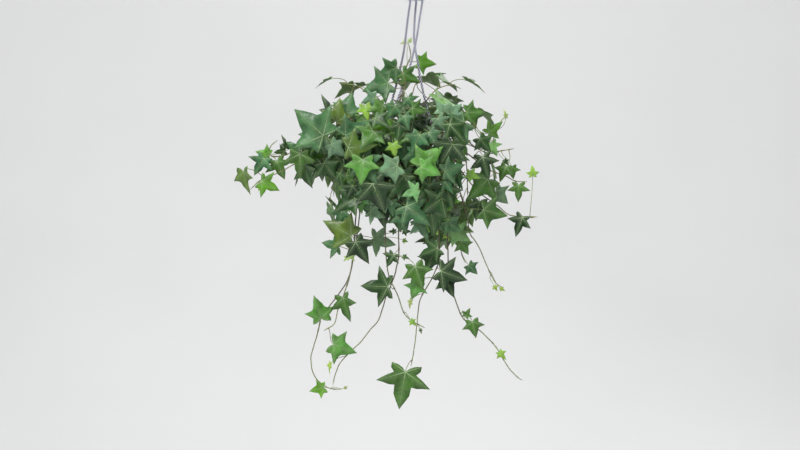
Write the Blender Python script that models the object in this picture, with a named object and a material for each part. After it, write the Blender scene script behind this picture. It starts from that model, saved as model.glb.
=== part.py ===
"""Ivy growing in a small hanging pot, as one assembly of solids.

The pot hangs by three twisted cords from a hook, whose bend is the origin. The plant is a set of
vines, each a stem with its leaf stalks and leaf blades in one piece. X is to the right, Y away from
the front, Z up. Routes and leaf places are written in millimetres, everything else in metres.
"""

import math
import random
from dataclasses import dataclass

import bmesh
import bpy
from mathutils import Matrix, Quaternion, Vector
from mathutils.bvhtree import BVHTree
from mathutils.kdtree import KDTree

MM = 0.001
SAME_POINT = 1e-6
UP = Vector((0.0, 0.0, 1.0))
FRONT = Vector((0.0, -1.0, 0.0))

# Hook and yoke, one moulding
HOOK_ROD = 0.005
HOOK_BEND = 0.012
HOOK_ROOT_TURN = -50
HOOK_TIP_TURN = 215
HOOK_TURN_STEP = 15
HOOK_RINGS = 28
YOKE_RADIUS = 0.0145
YOKE_HEIGHT = 0.012
YOKE_BOTTOM = -0.062
YOKE_CHAMFER = 0.0025
YOKE_NECK = 0.004

# Cords
CORD_DIAMETER = 0.0036
CORD_RING = 0.0104
CORD_POINTS = 26
CORD_LEAD = 0.004
CORD_EXITS = {"left": 210.0, "right": 90.0, "front": -30.0}
SOCKET_DEPTH = 0.006
CLEARANCE = 0.0003

# Pot, measured from the top of its rim
POT_X = -0.022
RIM_TOP = -0.290
RIM_RADIUS = 0.065
RIM_HEIGHT = 0.012
RIM_THICKNESS = 0.0035
POT_HEIGHT = 0.085
BASE_RADIUS = 0.044
WALL = 0.002
RIM_ROUNDING = 0.0008
FOOT_HEIGHT = 0.002
FOOT_WIDTH = 0.004
DRAIN_RADIUS = 0.0035
DRAIN_RING = 0.024
DRAIN_COUNT = 5
ROUND_STEPS = 36
HOLE_STEPS = 16
CUT_THROUGH = 0.002

# Rim clips
CLIP_TURNS = {"left": 115.0, "right": -5.0, "front": -125.0}
CLIP_WIDTH = 0.009
CLIP_LEG = 0.0024
CLIP_HEAD = 0.0085
CLIP_GRIP = 0.0095
CLIP_CLEARANCE = 0.0006
CLIP_BEVEL = 0.0008

# Soil
SOIL_DEPTH = 0.014
SOIL_CROWN = 0.004
SOIL_SIDE_GAP = 0.0005

# Plant
STEM_RADIUS = 0.0012
STEM_TIP_RADIUS = 0.0007
STEM_SIDES = 4
STALK_RADIUS = 0.0006
STALK_SHORTEST = 0.005
STALK_STEPS = (0.0, 0.16, 0.60, 1.0)
STALK_LONGEST = 0.095
BLADE_THICKNESS = 0.0006
LEAF_SCALE = 1.0
LEAF_GAP = 0.0005
STEM_GAP = 0.0016
POT_GAP = 0.002
ROOT_RISE = 0.010
TRAIL_ROOT = 0.046
SIDE_ROOT = 0.026
ROUTE_RIM_RADIUS = 0.065
ROUTE_GAP = 0.004
ROOT_LEAN = 0.004
ROOT_KNEE = 0.4
ROOT_EASE = 0.15
ROOT_TURN_STEP = 4
ROOT_TURN_COUNT = 20
STEM_SHORTEST_STEP = 0.004
STALK_BEHIND = 0.018
STALK_BELOW = 0.010
STALK_LONGEST_LOW = 0.05
STEM_CROWDING = 0.0025
STEM_COVER = 0.006
PATH_STEP = 0.003
STEM_BEND_STEP = 14.0
STEM_LONGEST_STEP = 0.032
BAND = 0.0022
BAND_SPACING = 0.0055
FIRST_BAND = 3
STALK_TRIES = 8
STALK_BEND_OUT = 0.30
STALK_BEND_IN = 0.35
STALK_FLARE = 1.3
LEAST_APPROACH = 0.15
MOST_SIDELONG = 0.72
LEAST_FOLD, MOST_FOLD = 0.05, 0.30
LEAST_DROOP, MOST_DROOP = 0.02, 0.16
CANOPY_HALF_WIDTH = 0.150
CANOPY_HALF_DEPTH = 0.125
CANOPY_RISE = 0.125
CANOPY_DROP = 0.150
CANOPY_MIDDLE = Vector((-0.020, 0.0, -0.285))
CANOPY_VINES = 18
FRONT_EDGE = 0.93
FRONT_SHARE = 0.92
FILL_LEAVES = 34
GOLDEN_TURN = 137.508
NUDGES = (0, -3, 3, -6, 6, -10, 10, -14, 14, 18, -18, 24, 30, 36)
PULLS = (0.0, 0.06, -0.05, 0.12, 0.18)
TIP_PUSHES = (12, 8, 16, 20, 5, 26)
TIP_LENGTHS = (0.026, 0.038)
FILL_LENGTHS = (0.024, 0.046)
SEED = 11

# Right half of a leaf's outline, in leaf lengths: across the midrib, then along it
HALF_OUTLINE = ((0.38, -0.17), (0.34, 0.08), (0.70, 0.34), (0.23, 0.40), (0.21, 0.60))

# Cords' own routes between the yoke and the clips
CORD_ROUTES = {
    "left": ((-12, 0, -86), (-15, 6, -111), (-18, 12, -135), (-23, 20, -160), (-29, 29, -185),
             (-37, 39, -215), (-45, 48, -250)),
    "right": ((-2, 9, -90), (-3, 7, -117), (-1, 5, -135), (2, 4, -151), (6, 2, -175),
              (14, 0, -213), (22, -2, -240), (32, -4, -264)),
    "front": ((5, -6, -90), (1, -8, -117), (-3, -11, -135), (-9, -15, -160), (-16, -20, -179),
              (-27, -28, -208), (-38, -36, -238), (-49, -43, -266)),
}

# Vines with their own routes, after they have left the soil
VINE_ROUTES = {
    "trail_1": ((-66, -52, -272), (-84, -62, -310), (-88, -66, -370), (-94, -68, -447),
                (-102, -68, -477), (-118, -66, -501), (-131, -64, -518), (-141, -62, -533),
                (-146, -60, -555), (-153, -58, -579), (-156, -56, -594), (-153, -54, -613),
                (-145, -52, -626), (-129, -52, -637), (-110, -52, -639)),
    "trail_2": ((-60, -64, -270), (-76, -76, -310), (-82, -78, -370), (-92, -76, -440),
                (-98, -75, -470), (-103, -74, -485), (-109, -73, -503), (-115, -72, -518),
                (-120, -72, -538), (-130, -71, -546), (-137, -70, -550)),
    "trail_3": ((-44, -66, -272), (-48, -80, -310), (-46, -84, -370), (-45, -84, -428),
                (-41, -83, -465), (-36, -82, -479), (-28, -80, -495), (-20, -78, -519),
                (-13, -77, -529), (-4, -76, -536), (13, -76, -545)),
    "trail_4": ((-30, -68, -272), (-30, -84, -305), (-27, -92, -360), (-26, -95, -411),
                (-26, -94, -438), (-31, -92, -463), (-36, -91, -478), (-45, -90, -500),
                (-55, -88, -531), (-67, -86, -546), (-81, -84, -564), (-90, -82, -573),
                (-102, -80, -585), (-112, -78, -597), (-118, -76, -610), (-123, -75, -630)),
    "trail_5": ((10, -64, -272), (24, -78, -305), (31, -86, -360), (33, -90, -417), (33, -92, -444),
                (22, -93, -472), (6, -94, -500), (2, -94, -524), (0, -93, -548), (-4, -92, -579),
                (-8, -91, -600)),
    "trail_6": ((24, -56, -272), (42, -66, -305), (46, -72, -360), (46, -76, -420), (48, -78, -465),
                (55, -78, -496), (67, -76, -528), (80, -75, -540), (92, -74, -548), (106, -73, -561),
                (120, -72, -577), (130, -71, -595), (140, -70, -609), (150, -70, -619),
                (157, -70, -623)),
    "trail_7": ((36, -44, -273), (54, -50, -305), (66, -54, -350), (75, -56, -382), (79, -57, -406),
                (87, -58, -418), (96, -59, -435), (106, -60, -459), (110, -60, -467),
                (117, -60, -480), (127, -60, -486)),
    "trail_8": ((42, 8, -274), (54, -2, -320), (60, -18, -380), (65, -32, -425), (70, -38, -446),
                (74, -39, -452)),
    "left_low": ((-84, -8, -268), (-115, -16, -268), (-150, -24, -283), (-180, -30, -305),
                 (-207, -34, -319), (-229, -36, -328), (-246, -37, -343)),
    "left_middle": ((-80, 8, -262), (-118, 2, -252), (-155, -6, -270), (-190, -14, -290),
                    (-212, -18, -295), (-219, -20, -288), (-215, -20, -277), (-206, -20, -270)),
    "left_high": ((-70, -20, -250), (-95, -24, -234), (-120, -28, -234), (-138, -30, -248),
                  (-150, -30, -268)),
    "right_high": ((18, -34, -250), (40, -38, -233), (62, -37, -230), (82, -35, -240),
                   (92, -34, -255)),
    "right_curl": ((38, 14, -266), (66, 2, -266), (92, -15, -282), (108, -20, -281),
                   (117, -21, -264), (125, -22, -244), (133, -22, -234)),
    "right_thin": ((30, 30, -264), (76, 20, -276), (108, 4, -290), (127, -5, -286),
                   (147, -6, -283)),
    "right_middle": ((36, -28, -266), (76, -34, -290), (105, -38, -312), (133, -40, -323),
                     (146, -41, -330), (164, -42, -331)),
    "right_low": ((44, -26, -276), (66, -36, -314), (92, -44, -346), (117, -48, -364),
                  (136, -49, -379), (154, -49, -382), (180, -49, -383)),
    "top_sprig": ((-26, 16, -235), (-22, 22, -190), (-15, 26, -162), (-8, 27, -144),
                  (-11, 27, -126)),
}

# Leaves that show from the front: x, z, how far out, length, heading of the tip, pitch, roll
FRONT_LEAVES = (
    # top
    (-15, -124, 0, 9, 190, 0, 0), (-10, -123, 0, 8, 60, 0, 0), (5, -153, 0, 27, -8, 0, 0),
    (-30, -162, 5, 33, 207, 0, 0), (-42, -186, 4, 38, 196, 10, 0), (-60, -207, 0, 24, 200, 0, 0),
    (-19, -171, 0, 29, -32, 0, 0), (-18, -186, 8, 18, -50, 0, 0), (-12, -207, 8, 21, -60, 10, 0),
    (-31, -219, 6, 24, -120, 15, 0), (-6, -222, 2, 22, -20, 0, 0), (-18, -234, 10, 22, -70, 15, 0),
    (-49, -219, 2, 24, 200, 10, 0), (-25, -246, 8, 23, -95, 20, 0), (-75, -219, 8, 22, -78, 20, 0),
    # upper left
    (-102, -230, 0, 31, 76, -10, 0), (-117, -241, 2, 35, 80, 0, 0), (-128, -236, 0, 37, 100, 0, 65),
    (-136, -262, 10, 58, 139, 0, 0), (-132, -266, -8, 36, 202, 0, 10), (-103, -262, 8, 43, 29, 5, 0),
    (-124, -275, 6, 29, -43, 0, 25), (-105, -266, -12, 26, -45, 0, 0), (-42, -237, -8, 30, 220, 0, 0),
    # left branch
    (-172, -290, 10, 38, -90, 5, 0), (-166, -288, 6, 36, -10, 0, 0), (-174, -285, 2, 24, 150, 0, 0),
    (-166, -309, -4, 35, -72, 0, 50), (-135, -303, -6, 33, -56, 0, 20), (-112, -318, -6, 22, -82, 0, 60),
    (-195, -281, 0, 20, 96, 0, 70), (-196, -286, -4, 17, 190, 0, 0), (-219, -292, 0, 20, 165, 0, 0),
    (-226, -297, 4, 29, -121, 0, 0), (-207, -301, 2, 30, -69, 0, 0), (-255, -316, 0, 36, -84, 0, 50),
    (-228, -331, 2, 29, -28, 0, 0), (-231, -340, 0, 6, -120, 0, 0),
    # middle
    (-78, -297, 16, 37, -94, 10, 0), (-76, -299, 8, 29, 98, 0, 0), (-28, -306, 12, 35, 202, 5, 0),
    (-34, -274, 8, 21, -80, 0, 0), (6, -305, 14, 41, 41, 0, 0), (6, -307, 18, 32, -23, 10, 0),
    (4, -261, 8, 30, -111, 15, 0), (18, -258, 4, 24, -60, 15, 0), (42, -297, 10, 27, 95, 0, 0),
    (60, -318, 8, 26, -80, 0, 50), (75, -318, 6, 20, -20, 0, 0), (2, -340, 14, 25, 203, 5, 0),
    (25, -364, 18, 10, -90, 0, 0), (39, -361, 12, 34, 69, 0, 0),
    # right
    (40, -228, 4, 21, 126, 0, 0), (51, -229, 6, 21, 42, 0, 0), (31, -237, 4, 24, -60, 10, 0),
    (69, -243, 10, 38, 215, 5, 0), (73, -228, 0, 26, -3, 0, 0), (82, -230, 0, 24, -75, 0, 0),
    (106, -259, 0, 26, 35, 0, 25), (133, -236, 0, 12, 100, 0, 50), (111, -274, 0, 21, -70, 0, 20),
    (93, -267, 2, 26, -52, 0, 0), (97, -294, 8, 33, -75, 5, 0), (133, -309, 0, 24, -116, 0, 20),
    (141, -310, 0, 18, -80, 0, 0), (132, -300, 0, 11, -50, 0, 0), (172, -322, 0, 16, 92, 0, 0),
    (151, -336, 2, 24, -90, 0, 0), (105, -327, 6, 43, 226, 5, 0), (93, -360, 4, 30, -100, 5, 0),
    (99, -372, 6, 36, -15, 0, 0), (117, -346, -4, 28, -42, 0, 0), (157, -384, 2, 28, -116, 0, 30),
    # lower left
    (-99, -356, 8, 20, -88, 10, 0), (-79, -352, 6, 24, -97, 0, 55), (-81, -336, 2, 24, 213, 0, 0),
    (-69, -336, 10, 29, -20, 5, 0), (-42, -352, 12, 30, 197, 5, 0), (-67, -372, 12, 24, -24, 5, 0),
    (-109, -372, 4, 26, -105, 5, 0), (-96, -409, 6, 45, 152, 0, 0), (-114, -425, 2, 27, 168, 0, 0),
    (-89, -418, 2, 35, -58, 5, 0), (-96, -438, 4, 10, -60, 0, 0), (-101, -440, 4, 9, -130, 0, 0),
    (-63, -414, 10, 35, -18, 5, 0),
    # lower middle
    (6, -360, 6, 27, -125, 10, 0), (3, -388, 8, 30, -60, 10, 0), (-27, -378, 4, 26, -80, 10, 0),
    (-19, -403, 2, 12, 0, 0, 0), (-31, -403, 2, 10, 180, 0, 0), (-19, -417, 2, 8, -20, 0, 0),
    (-19, -438, 2, 9, -20, 0, 0), (-33, -436, 2, 20, -125, 0, 30), (18, -391, 6, 25, -50, 0, 0),
    (43, -408, 6, 12, -60, 0, 0), (45, -388, 6, 29, -38, 0, 0), (54, -403, 6, 33, -30, 0, 0),
    (67, -421, 4, 22, -62, 0, 0), (-2, -452, 10, 35, -72, 5, 0), (30, -426, 6, 30, 205, 0, 0),
    (24, -436, 4, 30, -110, 0, 0), (36, -459, 8, 42, -20, 0, 0), (42, -470, 10, 30, -65, 5, 0),
    (1, -478, 4, 24, -110, 0, 0), (-7, -502, 2, 14, -110, 0, 60), (78, -455, 2, 18, -45, 0, 0),
    # on the trailing stems
    (-141, -531, 4, 35, 103, 0, 35), (-107, -500, 4, 36, -77, 0, 40), (-137, -635, 4, 21, 195, 0, 0),
    (-106, -636, 2, 6, 30, 0, 0), (-42, -482, 8, 39, 178, 0, 0), (-121, -568, 8, 37, -22, 5, 0),
    (-125, -596, 4, 16, -105, 0, 60), (-8, -533, 4, 12, -45, 0, 0), (6, -546, 2, 8, -80, 0, 40),
    (-16, -607, 4, 53, -100, 5, 0), (72, -527, 4, 14, 60, 0, 0), (82, -535, 4, 24, -78, 0, 0),
    (122, -580, 4, 15, -50, 0, 0), (115, -484, 2, 9, -60, 0, 0), (124, -487, 2, 8, -30, 0, 0),
)


def turned(vector, degrees, axis=UP):
    """A vector turned about an axis."""
    return Quaternion(axis, math.radians(degrees)) @ vector


def around_pot(radius, degrees, z):
    """A point at a radius and bearing from the pot's axis."""
    angle = math.radians(degrees)
    return Vector((POT_X + radius * math.cos(angle), radius * math.sin(angle), z))


def inner_floor():
    """Height of the floor inside the pot."""
    return RIM_TOP - POT_HEIGHT + FOOT_HEIGHT + WALL


def inner_radius(z):
    """Radius inside the pot's tapered wall at a height."""
    shoulder = RIM_TOP - RIM_HEIGHT
    share = (z - inner_floor()) / (shoulder - inner_floor())
    return BASE_RADIUS - WALL + (RIM_RADIUS - RIM_THICKNESS - BASE_RADIUS) * share


def soil_height(radius):
    """Height of the soil's top at a distance from the pot's axis."""
    share = radius / inner_radius(RIM_TOP - SOIL_DEPTH)
    return RIM_TOP - SOIL_DEPTH + SOIL_CROWN * (1.0 - share * share)


def clear_of_pot(point, gap=ROUTE_GAP):
    """A route point, drawn round a rim of ROUTE_RIM_RADIUS, moved outwards until it passes this one."""
    away = Vector((point.x - POT_X, point.y, 0.0))
    if point.z > RIM_TOP - POT_HEIGHT - gap:
        away *= RIM_RADIUS / ROUTE_RIM_RADIUS
        point = Vector((POT_X + away.x, away.y, point.z))
    least = RIM_RADIUS + gap
    if point.z > RIM_TOP + gap or point.z < RIM_TOP - POT_HEIGHT - gap or away.length >= least:
        return point
    away.normalize()
    return Vector((POT_X + away.x * least, away.y * least, point.z))


class Path:
    """A smooth curve through route points, with a frame that doesn't twist along it."""

    def __init__(self, route, step=PATH_STEP):
        self.points = []
        ends = [route[0] * 2 - route[1], *route, route[-1] * 2 - route[-2]]
        for before, start, end, after in zip(ends, ends[1:], ends[2:], ends[3:]):
            count = max(2, round((end - start).length / step))
            for i in range(count):
                t = i / count
                self.points.append(0.5 * (
                    2 * start + (end - before) * t
                    + (2 * before - 5 * start + 4 * end - after) * t * t
                    + (3 * start - before - 3 * end + after) * t * t * t
                ))
        self.points.append(route[-1].copy())
        self.marks = [0.0]
        for a, b in zip(self.points, self.points[1:]):
            self.marks.append(self.marks[-1] + (b - a).length)
        self.length = self.marks[-1]
        self.tangents = []
        last = len(self.points) - 1
        for i in range(last + 1):
            ahead = self.points[min(i + 1, last)] - self.points[max(i - 1, 0)]
            self.tangents.append(ahead.normalized())
        normal = self.tangents[0].orthogonal().normalized()
        self.normals = [normal]
        for a, b in zip(self.tangents, self.tangents[1:]):
            normal = a.rotation_difference(b) @ normal
            self.normals.append((normal - b * normal.dot(b)).normalized())

    def at(self, mark):
        """Point, tangent and normal at a distance along the curve."""
        mark = min(max(mark, 0.0), self.length)
        i = 0
        while i < len(self.marks) - 2 and self.marks[i + 1] < mark:
            i += 1
        t = (mark - self.marks[i]) / (self.marks[i + 1] - self.marks[i])
        tangent = self.tangents[i].lerp(self.tangents[i + 1], t).normalized()
        normal = self.normals[i].lerp(self.normals[i + 1], t)
        normal = (normal - tangent * normal.dot(tangent)).normalized()
        return self.points[i].lerp(self.points[i + 1], t), tangent, normal


class Vine:
    """A stem and the leaves that grow from it."""

    def __init__(self, name, route, front):
        self.name = name
        self.path = Path(route)
        self.front = front
        self.leaves = []
        self.finder = KDTree(len(self.path.points))
        for i, point in enumerate(self.path.points):
            self.finder.insert(point, i)
        self.finder.balance()

    def radius(self, mark):
        """Stem radius at a distance along it."""
        share = mark / self.path.length
        return STEM_RADIUS + (STEM_TIP_RADIUS - STEM_RADIUS) * share

    def side(self, mark, index):
        """Centre and outward direction of one side of the stem."""
        point, tangent, normal = self.path.at(mark)
        outward = turned(normal, 360.0 * (index + 0.5) / STEM_SIDES, tangent)
        return point + outward * self.radius(mark) * math.cos(math.pi / STEM_SIDES), outward

    def ring(self, mark):
        """Corners of the stem's section."""
        point, tangent, normal = self.path.at(mark)
        radius = self.radius(mark)
        return [
            point + turned(normal, 360.0 * i / STEM_SIDES, tangent) * radius
            for i in range(STEM_SIDES)
        ]

    def room_at(self, mark):
        """Whether another leaf stalk fits here."""
        return all(abs(leaf.mark - mark) > BAND_SPACING * 0.9 for leaf in self.leaves)

    def nears(self, other):
        """Whether this stem comes too close to another."""
        least = STEM_RADIUS * 2 + STEM_GAP + PATH_STEP / 4
        return any(other.finder.find(point)[2] < least for point in self.path.points)

    def ring_marks(self):
        """Distances along the stem at which it has a ring of corners, closer where it bends."""
        path = self.path
        marks = [0.0]
        heading = path.tangents[0]
        for mark, tangent in zip(path.marks, path.tangents):
            far = mark - marks[-1]
            if far > STEM_LONGEST_STEP or (
                far > STEM_SHORTEST_STEP and tangent.angle(heading) > math.radians(STEM_BEND_STEP)
            ):
                marks.append(mark)
                heading = tangent
        if path.length - marks[-1] < STEM_SHORTEST_STEP:
            marks.pop()
        marks.append(path.length)
        return marks


@dataclass
class Leaf:
    """A blade on its stalk: where it is, which way it points and how it is bent."""

    base: Vector
    ahead: Vector
    face: Vector
    length: float
    fold: float
    droop: float
    mark: float = 0.0
    side: int = 0
    stalk: tuple = ()

    def point(self, across, along, lift=0.0):
        """A point of the blade, given in leaf lengths, lifted off it in metres."""
        sideways = self.ahead.cross(self.face)
        bend = self.fold * abs(across) - self.droop * along * abs(along)
        flat = sideways * across + self.ahead * along + self.face * bend
        return self.base + flat * self.length + self.face * lift

    def outline(self):
        """Corners of the blade, in order, from the right of its stalk round to the left."""
        foot = STALK_RADIUS / self.length
        right = [(foot, 0.0), *HALF_OUTLINE]
        left = [(-across, along) for across, along in reversed(right)]
        return [*right, (0.0, 1.0), *left]

    def blade_shape(self, extra):
        """Corners and faces of the blade with some room above and below it."""
        outline = self.outline()
        half = BLADE_THICKNESS / 2 + extra
        points = [self.point(across, along, half) for across, along in outline]
        points += [self.point(across, along, -half) for across, along in outline]
        count = len(outline)
        faces = [list(range(count)), list(range(2 * count - 1, count - 1, -1))]
        faces += [[i, (i + 1) % count, (i + 1) % count + count, i + count] for i in range(count)]
        return points, faces

    def crosses_itself(self):
        """Whether the stalk passes through the leaf's own blade on its way to it."""
        approach = (self.base - self.stalk[-2]).normalized()
        onward = approach.dot(self.ahead)
        sidelong = abs(approach.dot(self.ahead.cross(self.face)))
        if onward < LEAST_APPROACH or sidelong > MOST_SIDELONG:
            return True
        blade = BVHTree.FromPolygons(*self.blade_shape(STALK_RADIUS * 2))
        for start, end in zip(self.stalk, self.stalk[1:]):
            way = end - start
            reach = way.length - (STALK_RADIUS * 3 if end is self.stalk[-1] else 0.0)
            if reach > 0.0 and blade.ray_cast(start, way, reach)[0] is not None:
                return True
        return False

    def tree(self, extra):
        """The leaf and its stalk with some room round them, for finding what they would touch."""
        points, faces = self.blade_shape(extra)
        tube = list(self.stalk)
        first = tube[1] - tube[0]
        tube[0] = tube[0] + first.normalized() * min(BAND, first.length / 2)
        for start, end in zip(tube, tube[1:]):
            along = (end - start).normalized()
            wide = along.orthogonal().normalized() * (STALK_RADIUS * STALK_FLARE + extra)
            first = len(points)
            for place in (start, end):
                points += [place + turned(wide, 90.0 * k, along) for k in range(4)]
            faces += [[first + k, first + (k + 1) % 4, first + (k + 1) % 4 + 4, first + k + 4]
                      for k in range(4)]
        return BVHTree.FromPolygons(points, faces), points


def stalk_points(vine, mark, side, leaf):
    """Route of a leaf stalk from the side of a stem to the blade, on a smooth curve."""
    start, outward = vine.side(mark, side)
    reach = (leaf.base - start).length
    bend_out = start + outward * reach * STALK_BEND_OUT
    bend_in = leaf.base - (leaf.ahead + leaf.face * 0.15) * reach * STALK_BEND_IN
    route = []
    for t in STALK_STEPS:
        s = 1.0 - t
        route.append(s ** 3 * start + 3 * s * s * t * bend_out + 3 * s * t * t * bend_in
                     + t ** 3 * leaf.base)
    return tuple(route)


class Plant:
    """All the vines, grown one after another so that nothing touches."""

    def __init__(self, obstacles, soil):
        self.random = random.Random(SEED)
        self.fixed = [*obstacles, soil]
        self.soil = soil
        self.vines = []
        self.grown = []

    def root_route(self, first, bearing, root):
        """Start of a vine: out of the soil and up, towards the first point of its own route."""
        foot = around_pot(root, bearing, soil_height(root) + CLEARANCE)
        rise = around_pot(root + ROOT_LEAN, bearing, RIM_TOP + ROOT_RISE)
        return [foot, rise.lerp(foot, ROOT_KNEE), rise.lerp(first, ROOT_EASE)]

    def root_turns(self, front):
        """Turns of a root to try, with whether the stem's room stays out of the soil that it leaves."""
        steps = range(ROOT_TURN_STEP, ROOT_TURN_STEP * ROOT_TURN_COUNT, ROOT_TURN_STEP)
        turns = [0] + [sign * step for step in steps for sign in (1, -1)]
        second = turns if front else turns[::-1]
        return [(turn, True) for turn in turns] + [(turn, False) for turn in second]

    def add_vine(self, name, points, bearing, root, front):
        """Grows a stem, turning its root about the pot until the stem touches nothing."""
        root *= RIM_RADIUS / ROUTE_RIM_RADIUS
        for turn, off_soil in self.root_turns(front):
            own = [clear_of_pot(point) for point in points]
            if not front:
                own = [self.swung(point, turn) for point in own]
            route = self.root_route(own[0], bearing + turn, root) + own
            vine = Vine(name, route, front)
            tree = self.stem_tree(vine, STEM_GAP)
            if not any(vine.nears(other) for other in self.vines):
                others = [other for other in self.fixed if off_soil or other is not self.soil]
                if not any(tree.overlap(other) for other in others):
                    break
        self.vines.append(vine)
        self.fixed.append(self.stem_tree(vine, LEAF_GAP))

    def swung(self, point, degrees):
        """A point turned about the pot's axis."""
        axis = Vector((POT_X, 0.0, 0.0))
        return axis + turned(point - axis, degrees)

    def stem_tree(self, vine, extra):
        """The stem's surface, with some room round it."""
        marks = vine.ring_marks()
        points, faces = [], []
        for mark in marks:
            place = vine.path.at(mark)[0]
            for corner in vine.ring(mark):
                points.append(corner + (corner - place).normalized() * extra)
        for i in range(len(marks) - 1):
            for k in range(STEM_SIDES):
                a, b = i * STEM_SIDES + k, i * STEM_SIDES + (k + 1) % STEM_SIDES
                faces.append([a, b, b + STEM_SIDES, a + STEM_SIDES])
        return BVHTree.FromPolygons(points, faces)

    def bulk(self, point):
        """How far out of the canopy a point is: 1 on its surface."""
        away = point - CANOPY_MIDDLE
        tall = CANOPY_RISE if away.z > 0 else CANOPY_DROP
        return math.sqrt((away.x / CANOPY_HALF_WIDTH) ** 2 + (away.y / CANOPY_HALF_DEPTH) ** 2
                         + (away.z / tall) ** 2)

    def front_depth(self, x, z):
        """Y of the canopy's front, or of the nearest stem beyond its edge."""
        away = self.bulk(Vector((x, 0.0, z)))
        if away < FRONT_EDGE:
            return -CANOPY_HALF_DEPTH * math.sqrt(1.0 - away * away) * FRONT_SHARE
        near = min(
            ((Vector((p.x - x, p.z - z)).length, p.y) for vine in self.vines if vine.front
             for p in vine.path.points),
        )
        return near[1] - STEM_COVER

    def spots(self, leaf, only=None):
        """Stem places that a leaf's stalk could grow from, the handiest first."""
        want = leaf.base - leaf.ahead * STALK_BEHIND - leaf.face * STALK_BELOW
        found = []
        for order, vine in enumerate(self.vines):
            if only is not None and vine is not only:
                continue
            count = int(vine.path.length / BAND_SPACING)
            for i in range(FIRST_BAND, count):
                mark = i * BAND_SPACING
                place = vine.path.at(mark)[0]
                reach = (leaf.base - place).length
                if place.z < RIM_TOP and order >= len(VINE_ROUTES) and reach > STALK_LONGEST_LOW:
                    continue
                if STALK_SHORTEST < reach < STALK_LONGEST * LEAF_SCALE and vine.room_at(mark):
                    crowd = STEM_CROWDING * len(vine.leaves)
                    found.append(((want - place).length + crowd, order, i))
        found.sort()
        return [(self.vines[order], i * BAND_SPACING) for _, order, i in found]

    def fits(self, leaf):
        """Whether a leaf touches nothing that has grown so far."""
        if leaf.crosses_itself():
            return False
        tree, points = leaf.tree(LEAF_GAP)
        for point in points:
            if Vector((point.x - POT_X, point.y)).length < RIM_RADIUS + POT_GAP:
                if RIM_TOP - POT_HEIGHT - POT_GAP < point.z < RIM_TOP - SOIL_DEPTH + 3 * POT_GAP:
                    return False
        if any(tree.overlap(other) for other in self.fixed):
            return False
        middle = leaf.point(0.0, 0.3)
        reach = max((point - middle).length for point in points)
        return not any(
            (middle - centre).length < reach + size and tree.overlap(other)
            for centre, size, other in self.grown
        )

    def add_leaf(self, leaf, only=None):
        """Grows a leaf from the first stem place where it fits."""
        for vine, mark in self.spots(leaf, only)[:STALK_TRIES]:
            place = vine.path.at(mark)[0]
            towards = (leaf.base - place).normalized()
            leaf.side = max(range(STEM_SIDES), key=lambda k: vine.side(mark, k)[1].dot(towards))
            leaf.mark = mark
            leaf.stalk = stalk_points(vine, mark, leaf.side, leaf)
            if self.fits(leaf):
                tree, points = leaf.tree(0.0)
                middle = leaf.point(0.0, 0.3)
                size = max((point - middle).length for point in points)
                self.grown.append((middle, size, tree))
                vine.leaves.append(leaf)
                return True
        return False

    def bend(self):
        """How far a leaf is folded along its midrib, and how far its tip droops."""
        return (self.random.uniform(LEAST_FOLD, MOST_FOLD),
                self.random.uniform(LEAST_DROOP, MOST_DROOP))

    def front_leaf(self, row):
        """Grows one of the leaves that are placed by hand, nearer or further until it fits."""
        x, z, out, length, heading, pitch, roll = row
        draw = self.random
        fold, droop = self.bend()
        tilt, lean = draw.uniform(-8, 8), draw.uniform(-6, 10)
        x, z = x * MM, z * MM
        ahead = turned(Vector((1.0, 0.0, 0.0)), -heading, Vector((0.0, 1.0, 0.0)))
        ahead = (ahead * math.cos(math.radians(pitch + lean))
                 + FRONT * math.sin(math.radians(pitch + lean)))
        face = (FRONT - ahead * FRONT.dot(ahead)).normalized()
        face = turned(face, roll + tilt, ahead)
        depth = self.front_depth(x, z) - out * MM
        for nudge in NUDGES:
            leaf = Leaf(Vector((x, depth + nudge * MM, z)), ahead, face, length * MM * LEAF_SCALE,
                        fold, droop)
            if self.add_leaf(leaf):
                return

    def tip_leaf(self, vine):
        """Grows a leaf at the end of a canopy vine."""
        draw = self.random
        place, along, _ = vine.path.at(vine.path.length)
        way = (place - CANOPY_MIDDLE).normalized()
        face = (way + UP * draw.uniform(0.2, 0.9)
                + along.cross(UP) * draw.uniform(-0.5, 0.5)).normalized()
        ahead = (along + way * 0.5 - UP * draw.uniform(0.1, 0.6))
        ahead = (ahead - face * ahead.dot(face)).normalized()
        length = draw.uniform(*TIP_LENGTHS) * LEAF_SCALE
        fold, droop = self.bend()
        for push in TIP_PUSHES:
            base = place + (along + way * 0.4) * push * MM
            if self.add_leaf(Leaf(base, ahead, face, length, fold, droop), vine):
                return

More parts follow.
